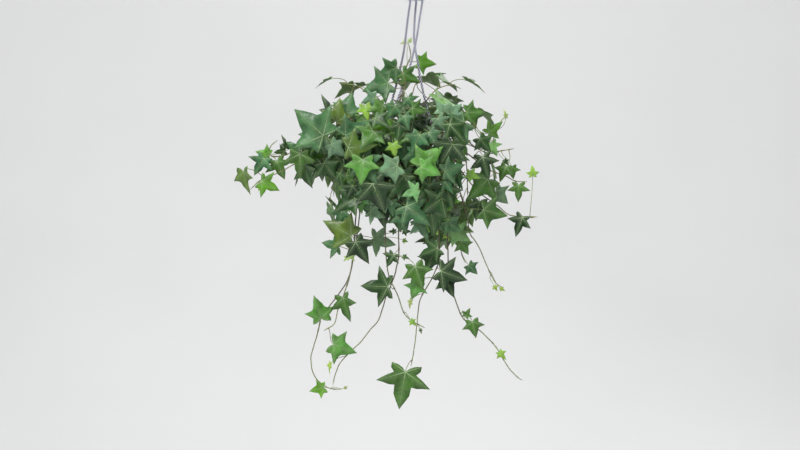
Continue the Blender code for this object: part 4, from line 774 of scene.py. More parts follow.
@dataclass(frozen=True)
class Soil:
    """The peat in the pot, rough on top, with crumbs of bark and perlite on it."""

    pot: Pot
    gap: float = 0.0003
    rings: int = 22
    roughness: float = 0.0011
    crumb_count: int = 90
    seed: int = 5

    def build(self) -> bpy.types.Object:
        """Builds the soil and the crumbs on it.

        Returns:
            The soil, which stands for its solid.
        """
        pot = self.pot
        bottom = pot.inner_floor() + self.gap
        shoulder = pot.rim_top - pot.soil_depth
        narrow = pot.inner_radius(bottom) - pot.soil_side_gap
        wide = pot.inner_radius(shoulder) - pot.soil_side_gap
        profile = [(0.0, bottom), (narrow, bottom), (wide, shoulder)]
        profile += [(wide * i / self.rings, pot.soil_height(wide * i / self.rings))
                    for i in range(self.rings - 1, 0, -1)]
        profile.append((0.0, pot.soil_height(0.0)))
        bm = spun(profile, 72, Vector((pot.x, 0.0, 0.0)))
        for vert in bm.verts:
            if vert.co.z > shoulder - 0.0005 and vert.co.z > bottom + 0.01:
                lump = noise.fractal(vert.co * 160.0, 1.0, 2.0, 4)
                vert.co.z += self.roughness * lump - self.roughness * 0.4
        draw = random.Random(self.seed)
        for _ in range(self.crumb_count):
            radius = wide * math.sqrt(draw.random()) * 0.93
            place = pot.around(radius, draw.uniform(0, 360), pot.soil_height(radius))
            size = draw.uniform(0.0007, 0.0019)
            made = bmesh.ops.create_icosphere(bm, subdivisions=1, radius=size)["verts"]
            turn = Quaternion((draw.gauss(0, 1), draw.gauss(0, 1), draw.gauss(0, 1), draw.gauss(0, 1)))
            stretch = Vector((draw.uniform(0.7, 1.6), draw.uniform(0.6, 1.0), draw.uniform(0.4, 0.8)))
            for vert in made:
                rough = 1.0 + 0.35 * noise.noise(vert.co * 900.0 + place * 50.0)
                vert.co = place + turn.normalized() @ (vert.co * stretch * rough)
            white = 1 if draw.random() < 0.22 else 0
            for face in {face for vert in made for face in vert.link_faces}:
                face.material_index = white
        perlite = MouldedFinish("perlite", (214, 210, 198), (170, 164, 150), 0.85, 900.0, 0.0004).make()
        piece = finished("peat_soil", bm, [SoilFinish().make(), perlite])
        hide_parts("soil")
        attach(piece, ROOT_BODY)
        return piece


@dataclass(frozen=True)
class Hanger:
    """The hook with its yoke, the three twisted cords and the clips on the pot's rim."""

    pot: Pot
    rod: float = 0.005
    bend: float = 0.012
    root_turn: int = -50
    tip_turn: int = 215
    turn_step: int = 15
    yoke_radius: float = 0.0145
    yoke_height: float = 0.012
    yoke_bottom: float = -0.062
    yoke_chamfer: float = 0.0025
    yoke_neck: float = 0.004
    cord_diameter: float = 0.0036
    cord_ring: float = 0.0104
    cord_points: int = 26
    cord_lead: float = 0.004
    socket_depth: float = 0.006
    clearance: float = 0.0003
    strand_count: int = 3
    strand_radius: float = 0.00100
    twist_length: float = 0.0135
    clip_width: float = 0.009
    clip_leg: float = 0.0024
    clip_head: float = 0.0085
    clip_grip: float = 0.0095
    clip_clearance: float = 0.0006
    clip_bevel: float = 0.0009
    exits: dict[str, float] = field(default_factory=lambda: {"left": 210.0, "right": 90.0, "front": -30.0})
    turns: dict[str, float] = field(default_factory=lambda: {"left": 115.0, "right": -5.0, "front": -125.0})

    def exit(self, name: str) -> Vector:
        """Where a cord leaves the yoke."""
        return turned(Vector((self.cord_ring, 0.0, self.yoke_bottom)), self.exits[name])

    def clip_radius(self) -> float:
        """Distance of a clip's cord from the pot's axis."""
        return self.pot.rim_radius - self.pot.rim_thickness / 2

    def clip_top(self) -> float:
        """Height of the clips' tops."""
        return self.pot.rim_top + self.clip_head

    def cord_points_of(self, name: str) -> list[Vector]:
        """Points along a cord's centre, from inside its socket in the yoke to inside its clip."""
        depth = self.socket_depth - self.clearance
        top = self.exit(name)
        foot = self.pot.around(self.clip_radius(), self.turns[name], self.clip_top())
        route = [top - UP * self.cord_lead, *(Vector(point) * MM for point in CORD_ROUTES[name]),
                 foot + UP * self.cord_lead]
        path = Path(route)
        points = [path.at(path.length * i / self.cord_points)[0] for i in range(self.cord_points + 1)]
        return [top + UP * depth, *points, foot - UP * depth]

    def build_cord(self, name: str, finish: bpy.types.Material) -> bpy.types.Object:
        """Builds one cord as strands laid round each other.

        Args:
            name: left, right or front.
            finish: The strands' material.

        Returns:
            The cord.
        """
        points = self.cord_points_of(name)
        path = Path(points, 0.0012)
        lay = self.cord_diameter / 2 - self.strand_radius
        sides, steps = 24, int(path.length / self.twist_length * 15)
        rings = []
        offs = []
        for k in range(sides):
            angle = math.tau * k / sides
            nearest = round(angle * self.strand_count / math.tau) * math.tau / self.strand_count
            offs.append(angle - nearest)
        for i in range(steps + 1):
            mark = path.length * i / steps
            point, tangent, normal = path.at(mark)
            side = tangent.cross(normal)
            turn = math.tau * mark / self.twist_length
            corners = []
            for k, off in enumerate(offs):
                angle = math.tau * k / sides
                reach = lay * math.cos(off) + math.sqrt(
                    max(self.strand_radius ** 2 - (lay * math.sin(off)) ** 2, 0.0))
                corners.append((reach * math.cos(angle + turn), reach * math.sin(angle + turn)))
            rings.append((point, normal, side, corners))
        # crest is 1 on a strand's crest and 0 where strands meet; the material paints shade where it is low.
        bm = swept(rings, crests=[math.cos(off * self.strand_count / 2) ** 2 for off in offs])
        piece = finished(f"twisted_cord_{name}", bm, [finish])
        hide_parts(f"cord_{name}")
        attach(piece, ROOT_BODY)
        return piece

    def build_hook(self, finish: bpy.types.Material) -> bpy.types.Object:
        """Builds the hook and the yoke below it, joined in one moulding.

        Args:
            finish: The plastic.

        Returns:
            The hook, which stands for its solid.
        """
        bend = self.bend + self.rod / 2
        yoke_top = self.yoke_bottom + self.yoke_height
        route = [Vector((0, 0, yoke_top - self.yoke_neck)), Vector((0, 0, yoke_top + self.yoke_neck * 1.5))]
        for turn in range(self.root_turn, self.tip_turn + 1, self.turn_step):
            angle = math.radians(turn)
            route.append(Vector((bend * math.cos(angle), 0.0, bend * math.sin(angle) - self.bend)))
        path = Path(route, 0.0015)
        rings = []
        count = 90
        for i in range(count + 1):
            mark = path.length * i / count
            point, tangent, normal = path.at(mark)
            near_root = max(0.0, 1.0 - mark / 0.010)
            near_tip = max(0.0, 1.0 - (path.length - mark) / (self.rod / 2))
            radius = self.rod / 2 * (1.0 + 0.55 * near_root ** 2) * math.sqrt(max(1.0 - near_tip ** 2, 0.02))
            rings.append((point, normal, tangent.cross(normal), circle(radius, 20)))
        rod = finished("rod", swept(rings), [finish])
        edge = self.yoke_chamfer
        profile = [(0.0, self.yoke_bottom), (self.yoke_radius - edge, self.yoke_bottom)]
        for i in range(1, 6):
            angle = math.radians(90 * i / 6)
            profile.append((self.yoke_radius - edge + edge * math.sin(angle),
                            self.yoke_bottom + edge - edge * math.cos(angle)))
        profile += [
            (self.yoke_radius, self.yoke_bottom + edge), (self.yoke_radius, yoke_top - 2 * edge),
            (self.yoke_radius - 0.0006, yoke_top - 1.5 * edge), (self.yoke_radius - edge, yoke_top - edge * 0.8),
            (self.yoke_radius * 0.5, yoke_top - 0.0006), (0.0, yoke_top - 0.0003),
        ]
        yoke = finished("hook_and_yoke", spun(profile, 72, Vector((0.0, 0.0, 0.0))), [finish])
        join = yoke.modifiers.new("join", "BOOLEAN")
        join.operation = "UNION"
        join.object = rod
        join.solver = "EXACT"
        view = bpy.context.evaluated_depsgraph_get()
        mesh = bpy.data.meshes.new_from_object(yoke.evaluated_get(view))
        yoke.modifiers.clear()
        yoke.data = mesh
        bpy.data.objects.remove(rod)
        for name in self.exits:
            place = self.exit(name)
            low, high = self.yoke_bottom - 0.002, self.yoke_bottom + self.socket_depth
            radius = self.cord_diameter / 2 + self.clearance
            cut_away(yoke, spun([(0.0, low), (radius, low), (radius, high), (0.0, high)], 28, place))
        yoke.data.set_sharp_from_angle(angle=math.radians(38))
        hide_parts("hanger_hook")
        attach(yoke, ROOT_BODY)
        return yoke

    def build_clip(self, name: str, finish: bpy.types.Material) -> bpy.types.Object:
        """Builds the clip that straddles the pot's rim at the foot of a cord.

        Args:
            name: left, right or front.
            finish: The plastic.

        Returns:
            The clip, which stands for its solid.
        """
        bearing = self.turns[name]
        outer = self.pot.rim_thickness / 2 + self.clip_clearance + self.clip_leg
        bottom, top = self.pot.rim_top - self.clip_grip, self.clip_top()
        bm = bmesh.new()
        bmesh.ops.create_cube(bm, size=1.0)
        bmesh.ops.scale(bm, vec=(2 * outer, self.clip_width, top - bottom), verts=bm.verts)
        bmesh.ops.translate(bm, vec=(0, 0, (top + bottom) / 2), verts=bm.verts)
        bmesh.ops.bevel(bm, geom=bm.edges, offset=self.clip_bevel, offset_type="OFFSET", affect="EDGES",
                        segments=3, profile=0.5, material=-1)
        clip = finished(f"rim_clip_{name}_moulded", bm, [finish])
        slot = bmesh.new()
        bmesh.ops.create_cube(slot, size=1.0)
        slot_top, slot_bottom = self.pot.rim_top + self.clearance, bottom - 0.002
        bmesh.ops.scale(slot, vec=(self.pot.rim_thickness + 2 * self.clip_clearance, self.clip_width * 2,
                                   slot_top - slot_bottom), verts=slot.verts)
        bmesh.ops.translate(slot, vec=(0, 0, (slot_top + slot_bottom) / 2), verts=slot.verts)
        cut_away(clip, slot)
        radius = self.cord_diameter / 2 + self.clearance
        low, high = top - self.socket_depth, top + 0.002
        cut_away(clip, spun([(0.0, low), (radius, low), (radius, high), (0.0, high)], 24, Vector((0, 0, 0))))
        place = Matrix.Translation(self.pot.around(self.clip_radius(), bearing, 0.0))
        clip.data.transform(place @ Matrix.Rotation(math.radians(bearing), 4, "Z"))
        clip.data.set_sharp_from_angle(angle=math.radians(38))
        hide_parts(f"rim_clip_{name}")
        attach(clip, ROOT_BODY)
        return clip

    def build(self) -> list[bpy.types.Object]:
        """Builds the cords, the hook and the clips."""
        strands = CordFinish().make()
        plastic = MouldedFinish("hanger_lilac", (182, 184, 208), (150, 152, 176), 0.36).make()
        pieces = [self.build_cord(name, strands) for name in self.exits]
        pieces.append(self.build_hook(plastic))
        pieces += [self.build_clip(name, plastic) for name in self.turns]
        return pieces


@dataclass(frozen=True)
class Growth:
    """Sizes and habits that the vines grow by."""

    stem_radius: float = 0.0012
    stem_tip_radius: float = 0.0007
    stem_sides: int = 4
    stalk_radius: float = 0.0006
    stalk_shortest: float = 0.005
    stalk_longest: float = 0.095
    stalk_steps: tuple[float, ...] = (0.0, 0.16, 0.60, 1.0)
    stalk_tries: int = 8
    stalk_bend_out: float = 0.30
    stalk_bend_in: float = 0.35
    stalk_flare: float = 1.3
    least_approach: float = 0.15
    most_sidelong: float = 0.72
    blade_thickness: float = 0.0006
    leaf_gap: float = 0.0005
    stem_gap: float = 0.0016
    pot_gap: float = 0.002
    root_rise: float = 0.010
    trail_root: float = 0.046
    side_root: float = 0.026
    clearance: float = 0.0003
    path_step: float = 0.003
    bend_step: float = 14.0
    longest_step: float = 0.032
    band: float = 0.0022
    band_spacing: float = 0.0055
    first_band: int = 3
    folds: tuple[float, float] = (0.05, 0.30)
    droops: tuple[float, float] = (0.02, 0.16)
    half_width: float = 0.150
    half_depth: float = 0.125
    rise: float = 0.125
    drop: float = 0.150
    middle: tuple[float, float, float] = (-0.020, 0.0, -0.285)
    canopy_vines: int = 18
    front_edge: float = 0.93
    front_share: float = 0.92
    fill_leaves: int = 34
    nudges: tuple[int, ...] = (0, -3, 3, -6, 6, -10, 10, -14, 14, 18, -18, 24, 30, 36)
    pulls: tuple[float, ...] = (0.0, 0.06, -0.05, 0.12, 0.18)
    tip_pushes: tuple[int, ...] = (12, 8, 16, 20, 5, 26)
    outline: tuple[tuple[float, float], ...] = (
        (0.38, -0.17), (0.34, 0.08), (0.70, 0.34), (0.23, 0.40), (0.21, 0.60))
    seed: int = 11


GROWTH = Growth()


class Vine:
    """A stem and the leaves that grow from it."""

    def __init__(self, name: str, route: Sequence[Vector], front: bool) -> None:
        """Lays the stem.

        Args:
            name: Name of its node.
            route: Points that it goes through.
            front: Whether it has a route of its own, which shows from the front.
        """
        self.name = name
        self.path = Path(route, GROWTH.path_step)
        self.front = front
        self.leaves: list[Leaf] = []
        self.finder = KDTree(len(self.path.points))
        for i, point in enumerate(self.path.points):
            self.finder.insert(point, i)
        self.finder.balance()
        count = int(self.path.length / GROWTH.band_spacing)
        self.places = [self.path.at(i * GROWTH.band_spacing)[0] for i in range(count)]

    def radius(self, mark: float) -> float:
        """Stem radius at a distance along it."""
        share = mark / self.path.length
        return GROWTH.stem_radius + (GROWTH.stem_tip_radius - GROWTH.stem_radius) * share

    def side(self, mark: float, index: int) -> tuple[Vector, Vector]:
        """Centre and outward direction of one side of the stem."""
        point, tangent, normal = self.path.at(mark)
        outward_way = turned(normal, 360.0 * (index + 0.5) / GROWTH.stem_sides, tangent)
        return point + outward_way * self.radius(mark) * math.cos(math.pi / GROWTH.stem_sides), outward_way

    def ring(self, mark: float) -> list[Vector]:
        """Corners of the stem's section."""
        point, tangent, normal = self.path.at(mark)
        radius = self.radius(mark)
        return [point + turned(normal, 360.0 * i / GROWTH.stem_sides, tangent) * radius
                for i in range(GROWTH.stem_sides)]

    def room_at(self, mark: float) -> bool:
        """Whether another leaf stalk fits here."""
        return all(abs(leaf.mark - mark) > GROWTH.band_spacing * 0.9 for leaf in self.leaves)

    def nears(self, other: Vine) -> bool:
        """Whether this stem comes too close to another."""
        least = GROWTH.stem_radius * 2 + GROWTH.stem_gap + GROWTH.path_step / 4
        return any(other.finder.find(point)[2] < least for point in self.path.points)

    def ring_marks(self) -> list[float]:
        """Distances along the stem at which it has a ring of corners, closer where it bends."""
        path = self.path
        marks = [0.0]
        heading = path.tangents[0]
        for mark, tangent in zip(path.marks, path.tangents):
            far = mark - marks[-1]
            bent = far > 0.004 and tangent.angle(heading) > math.radians(GROWTH.bend_step)
            if far > GROWTH.longest_step or bent:
                marks.append(mark)
                heading = tangent
        if path.length - marks[-1] < 0.004:
            marks.pop()
        marks.append(path.length)
        return marks


@dataclass
class Leaf:
    """A blade on its stalk: where it is, which way it points, how it is bent and its tone."""

    base: Vector
    ahead: Vector
    face: Vector
    length: float
    fold: float
    droop: float
    tone: Tone = Tone.MID
    mark: float = 0.0
    side: int = 0
    stalk: tuple[Vector, ...] = ()

    def point(self, across: float, along: float, lift: float = 0.0) -> Vector:
        """A point of the blade, given in leaf lengths, lifted off it in metres."""
        sideways = self.ahead.cross(self.face)
        bend = self.fold * abs(across) - self.droop * along * abs(along)
        flat = sideways * across + self.ahead * along + self.face * bend
        return self.base + flat * self.length + self.face * lift

    def outline(self) -> list[tuple[float, float]]:
        """Corners of the blade, in order, from the right of its stalk round to the left."""
        foot = GROWTH.stalk_radius / self.length
        right = [(foot, 0.0), *GROWTH.outline]
        left = [(-across, along) for across, along in reversed(right)]
        return [*right, (0.0, 1.0), *left]

    def blade_shape(self, extra: float) -> tuple[list[Vector], list[list[int]]]:
        """Corners and faces of the blade with some room above and below it."""
        outline = self.outline()
        half = GROWTH.blade_thickness / 2 + extra
        points = [self.point(across, along, half) for across, along in outline]
        points += [self.point(across, along, -half) for across, along in outline]
        count = len(outline)
        faces = [list(range(count)), list(range(2 * count - 1, count - 1, -1))]
        faces += [[i, (i + 1) % count, (i + 1) % count + count, i + count] for i in range(count)]
        return points, faces

    def crosses_itself(self) -> bool:
        """Whether the stalk passes through the leaf's own blade on its way to it."""
        approach = (self.base - self.stalk[-2]).normalized()
        sidelong = abs(approach.dot(self.ahead.cross(self.face)))
        if approach.dot(self.ahead) < GROWTH.least_approach or sidelong > GROWTH.most_sidelong:
            return True
        blade = BVHTree.FromPolygons(*self.blade_shape(GROWTH.stalk_radius * 2))
        for start, end in zip(self.stalk, self.stalk[1:]):
            way = end - start
            reach = way.length - (GROWTH.stalk_radius * 3 if end is self.stalk[-1] else 0.0)
            if reach > 0.0 and blade.ray_cast(start, way, reach)[0] is not None:
                return True
        return False

    def tree(self, extra: float) -> tuple[BVHTree, list[Vector]]:
        """The leaf and its stalk with some room round them, for finding what they would touch."""
        points, faces = self.blade_shape(extra)
        tube = list(self.stalk)
        first = tube[1] - tube[0]
        tube[0] = tube[0] + first.normalized() * min(GROWTH.band, first.length / 2)
        for start, end in zip(tube, tube[1:]):
            along = (end - start).normalized()
            wide = along.orthogonal().normalized() * (GROWTH.stalk_radius * GROWTH.stalk_flare + extra)
            first_corner = len(points)
            for place in (start, end):
                points += [place + turned(wide, 90.0 * k, along) for k in range(4)]
            faces += [[first_corner + k, first_corner + (k + 1) % 4, first_corner + (k + 1) % 4 + 4,
                       first_corner + k + 4] for k in range(4)]
        return BVHTree.FromPolygons(points, faces), points


def stalk_points(vine: Vine, mark: float, side: int, leaf: Leaf, steps: Sequence[float]) -> tuple[Vector, ...]:
    """Route of a leaf stalk from the side of a stem to the blade, on a smooth curve.

    Args:
        vine: The stem.
        mark: Distance along the stem.
        side: Which side of the stem.
        leaf: The leaf.
        steps: Shares of the curve at which it has a point.

    Returns:
        The points.
    """
    start, outward_way = vine.side(mark, side)
    reach = (leaf.base - start).length
    bend_out = start + outward_way * reach * GROWTH.stalk_bend_out
    bend_in = leaf.base - (leaf.ahead + leaf.face * 0.15) * reach * GROWTH.stalk_bend_in
    route = []
    for t in steps:
        s = 1.0 - t
        route.append(s ** 3 * start + 3 * s * s * t * bend_out + 3 * s * t * t * bend_in + t ** 3 * leaf.base)
    return tuple(route)


class Plant:
    """All the vines, grown one after another so that nothing touches."""

    def __init__(self, pot: Pot, obstacles: Sequence[BVHTree]) -> None:
        """Starts with an empty pot.

        Args:
            pot: The pot that it grows in.
            obstacles: Surfaces of the finished pieces.
        """
        self.pot = pot
        self.random = random.Random(GROWTH.seed)
        self.fixed = list(obstacles)
        self.vines: list[Vine] = []
        self.grown: list[tuple[Vector, float, BVHTree]] = []
        self.middle = Vector(GROWTH.middle)

    def root_route(self, first: Vector, bearing: float, root: float) -> list[Vector]:
        """Start of a vine: out of the soil and up, towards the first point of its own route."""
        pot = self.pot
        foot = pot.around(root, bearing, pot.soil_height(root) + GROWTH.clearance)
        rise = pot.around(root + 0.004, bearing, pot.rim_top + GROWTH.root_rise)
        return [foot, rise.lerp(foot, 0.4), rise.lerp(first, 0.15)]

    def add_vine(self, name: str, points: Sequence[Vector], bearing: float, root: float, front: bool) -> None:
        """Grows a stem, turning its root about the pot until the stem touches nothing.

        Args:
            name: Name of its node.
            points: Its own route.
            bearing: Where its root is, round the pot.
            root: How far its root is from the pot's axis.
            front: Whether its route stays as it is.
        """
        turns = [0] + [sign * step * 4 for step in range(1, 20) for sign in (1, -1)]
        for turn in turns:
            own = [self.pot.clear(point) for point in points]
            if not front:
                own = [self.swung(point, turn) for point in own]
            route = self.root_route(own[0], bearing + turn, root) + own
            vine = Vine(name, route, front)
            tree = self.stem_tree(vine, GROWTH.stem_gap)
            if not any(vine.nears(other) for other in self.vines):
                if not any(tree.overlap(other) for other in self.fixed):
                    break
        self.vines.append(vine)
        self.fixed.append(self.stem_tree(vine, GROWTH.leaf_gap))

    def swung(self, point: Vector, degrees: float) -> Vector:
        """A point turned about the pot's axis."""
        axis = Vector((self.pot.x, 0.0, 0.0))
        return axis + turned(point - axis, degrees)

    def stem_tree(self, vine: Vine, extra: float) -> BVHTree:
        """The stem's surface, with some room round it."""
        marks = vine.ring_marks()
        sides = GROWTH.stem_sides
        points, faces = [], []
        for mark in marks:
            place = vine.path.at(mark)[0]
            for corner in vine.ring(mark):
                points.append(corner + (corner - place).normalized() * extra)
        for i in range(len(marks) - 1):
            for k in range(sides):
                a, b = i * sides + k, i * sides + (k + 1) % sides
                faces.append([a, b, b + sides, a + sides])
        return BVHTree.FromPolygons(points, faces)

    def bulk(self, point: Vector) -> float:
        """How far out of the canopy a point is: 1 on its surface."""
        away = point - self.middle
        tall = GROWTH.rise if away.z > 0 else GROWTH.drop
        return math.sqrt((away.x / GROWTH.half_width) ** 2 + (away.y / GROWTH.half_depth) ** 2
                         + (away.z / tall) ** 2)

    def front_depth(self, x: float, z: float) -> float:
        """Y of the canopy's front, or of the nearest stem beyond its edge."""
        away = self.bulk(Vector((x, 0.0, z)))
        if away < GROWTH.front_edge:
            return -GROWTH.half_depth * math.sqrt(1.0 - away * away) * GROWTH.front_share
        near = min(
            ((Vector((p.x - x, p.z - z)).length, p.y) for vine in self.vines if vine.front
             for p in vine.path.points),
        )
        return near[1] - 0.006

    def spots(self, leaf: Leaf, only: Vine | None = None) -> list[tuple[Vine, float]]:
        """Stem places that a leaf's stalk could grow from, the handiest first."""
        want = leaf.base - leaf.ahead * 0.018 - leaf.face * 0.010
        found = []
        for order, vine in enumerate(self.vines):
            if only is not None and vine is not only:
                continue
            for i in range(GROWTH.first_band, len(vine.places)):
                mark = i * GROWTH.band_spacing
                place = vine.places[i]
                reach = (leaf.base - place).length
                if place.z < self.pot.rim_top and order >= len(VINE_ROUTES) and reach > 0.05:
                    continue
                if GROWTH.stalk_shortest < reach < GROWTH.stalk_longest and vine.room_at(mark):
                    crowd = 0.0025 * len(vine.leaves)
                    found.append(((want - place).length + crowd, order, i))
        found.sort()
        return [(self.vines[order], i * GROWTH.band_spacing) for _, order, i in found]

    def fits(self, leaf: Leaf) -> bool:
        """Whether a leaf touches nothing that has grown so far."""
        if leaf.crosses_itself():
            return False
        tree, points = leaf.tree(GROWTH.leaf_gap)
        pot = self.pot
        for point in points:
            if Vector((point.x - pot.x, point.y)).length < pot.rim_radius + GROWTH.pot_gap:
                lowest = pot.rim_top - pot.height - GROWTH.pot_gap
                if lowest < point.z < pot.rim_top - pot.soil_depth + 3 * GROWTH.pot_gap:
                    return False
        if any(tree.overlap(other) for other in self.fixed):
            return False
        middle = leaf.point(0.0, 0.3)
        reach = max((point - middle).length for point in points)
        return not any(
            (middle - centre).length < reach + size and tree.overlap(other)
            for centre, size, other in self.grown
        )

    def add_leaf(self, leaf: Leaf, only: Vine | None = None) -> bool:
        """Grows a leaf from the first stem place where it fits.

        Args:
            leaf: The leaf, without its stalk.
            only: The one vine that it may grow from.

        Returns:
            Whether it grew.
        """
        for vine, mark in self.spots(leaf, only)[:GROWTH.stalk_tries]:
            place = vine.path.at(mark)[0]
            towards = (leaf.base - place).normalized()
            leaf.side = max(range(GROWTH.stem_sides), key=lambda k: vine.side(mark, k)[1].dot(towards))
            leaf.mark = mark
            leaf.stalk = stalk_points(vine, mark, leaf.side, leaf, GROWTH.stalk_steps)
            if self.fits(leaf):
                tree, points = leaf.tree(0.0)
                middle = leaf.point(0.0, 0.3)
                size = max((point - middle).length for point in points)
                self.grown.append((middle, size, tree))
                vine.leaves.append(leaf)
                return True
        return False

    def bend(self) -> tuple[float, float]:
        """How far a leaf is folded along its midrib, and how far its tip droops."""
        return self.random.uniform(*GROWTH.folds), self.random.uniform(*GROWTH.droops)

    def front_leaf(self, row: tuple[float, float, float, float, float, float, float, str]) -> None:
        """Grows one of the listed leaves, nearer or further until it fits."""
        x, z, out, length, heading, pitch, roll, tone = row
        draw = self.random
        fold, droop = self.bend()
        tilt, lean = draw.uniform(-8, 8), draw.uniform(-6, 10)
        x, z = x * MM, z * MM
        ahead = turned(Vector((1.0, 0.0, 0.0)), -heading, Vector((0.0, 1.0, 0.0)))
        ahead = (ahead * math.cos(math.radians(pitch + lean)) + FRONT * math.sin(math.radians(pitch + lean)))
        face = (FRONT - ahead * FRONT.dot(ahead)).normalized()
        face = turned(face, roll + tilt, ahead)
        depth = self.front_depth(x, z) - out * MM
        for nudge in GROWTH.nudges:
            base = Vector((x, depth + nudge * MM, z))
            if self.add_leaf(Leaf(base, ahead, face, length * MM, fold, droop, Tone[tone.upper()])):
                return

    def tip_leaf(self, vine: Vine) -> None:
        """Grows a leaf at the end of a canopy vine."""
        draw = self.random
        place, along, _ = vine.path.at(vine.path.length)
        way = (place - self.middle).normalized()
        face = (way + UP * draw.uniform(0.2, 0.9)
                + along.cross(UP) * draw.uniform(-0.5, 0.5)).normalized()
        ahead = (along + way * 0.5 - UP * draw.uniform(0.1, 0.6))
        ahead = (ahead - face * ahead.dot(face)).normalized()
        length = draw.uniform(0.026, 0.038)
        fold, droop = self.bend()
        for push in GROWTH.tip_pushes:
            base = place + (along + way * 0.4) * push * MM
            if self.add_leaf(Leaf(base, ahead, face, length, fold, droop), vine):
                return

    def fill_leaf(self, index: int, total: int) -> None:
        """Grows a leaf somewhere on the canopy, spread evenly over it."""
        draw = self.random
        rise = 0.92 - 1.75 * (index + 0.5) / total
        bearing = index * GOLDEN_TURN + draw.uniform(-12, 12)
        flat = math.sqrt(1.0 - rise * rise)
        way = Vector((flat * math.cos(math.radians(bearing)), flat * math.sin(math.radians(bearing)), rise))
        share = draw.uniform(0.80, 0.98) if way.y > -0.25 else draw.uniform(0.60, 0.80)
        base = self.on_canopy(way, share)
        face = (way + UP * 0.35 + Vector((draw.uniform(-0.4, 0.4), draw.uniform(-0.4, 0.4),
                                          draw.uniform(-0.3, 0.3)))).normalized()
        down = Vector((way.x * 0.8 + draw.uniform(-0.7, 0.7), way.y * 0.8 + draw.uniform(-0.7, 0.7),
                       -0.8 + draw.uniform(-0.3, 0.6)))
        ahead = (down - face * down.dot(face)).normalized()
        length = draw.uniform(0.024, 0.046)
        fold, droop = self.bend()
        for pull in GROWTH.pulls:
            if self.add_leaf(Leaf(base.lerp(self.middle, pull), ahead, face, length, fold, droop)):
                return

    def on_canopy(self, way: Vector, share: float) -> Vector:
        """A point of the canopy in a direction, at a share of the way out from its middle."""
        tall = GROWTH.rise if way.z > 0 else GROWTH.drop
        return self.middle + share * Vector((way.x * GROWTH.half_width, way.y * GROWTH.half_depth,
                                             way.z * tall))

    def canopy_route(self, index: int) -> tuple[float, float, list[Vector]]:
        """A vine of the canopy: its bearing, its root's radius and its route, in one of three tiers."""
        tier = index % 3
        bearing = index * GOLDEN_TURN + 25.0
        draw = self.random
        if tier == 0:
            reach, rise = draw.uniform(0.45, 0.70), draw.uniform(0.55, 0.80)
            steps = ((0.26, 0.30), (0.40, 0.62), (0.66, 0.92), (1.0, 1.0))
            root = 0.012 + 0.001 * (index % 8)
        elif tier == 1:
            reach, rise = draw.uniform(0.72, 0.88), draw.uniform(0.22, 0.34)
            steps = ((0.30, 0.60), (0.55, 0.95), (0.80, 1.0), (1.0, 0.45))
            root = 0.034
        else:
            reach, rise = draw.uniform(0.66, 0.80), -draw.uniform(0.45, 0.75)
            steps = ((0.66, -0.16), (0.86, 0.02), (0.97, 0.35), (1.0, 1.0))
            root = 0.048
        tall = GROWTH.rise if rise > 0 else GROWTH.drop
        angle = math.radians(bearing)
        points = [
            Vector((
                self.pot.x + math.cos(angle) * GROWTH.half_width * reach * out,
                math.sin(angle) * GROWTH.half_depth * reach * out,
                max(self.middle.z, self.pot.rim_top) + tall * rise * up + 0.012,
            ))
            for out, up in steps
        ]
        return bearing, root, points

    def grow(self) -> None:
        """Grows every vine, then every leaf that has a solid."""
        for name, route in VINE_ROUTES.items():
            points = [Vector(point) * MM for point in route]
            away = points[0] - Vector((self.pot.x, 0.0, 0.0))
            bearing = math.degrees(math.atan2(away.y, away.x))
            root = GROWTH.trail_root if "trail" in name else GROWTH.side_root
            self.add_vine(name, points, bearing, root, True)
        for index in range(GROWTH.canopy_vines):
            bearing, root, points = self.canopy_route(index)
            self.add_vine(f"canopy_{index + 1:02d}", points, bearing, root, False)
        for row in FRONT_LEAVES:
            self.front_leaf(row)
        for vine in self.vines[len(VINE_ROUTES):]:
            self.tip_leaf(vine)
        for index in range(GROWTH.fill_leaves):
            self.fill_leaf(index, GROWTH.fill_leaves)


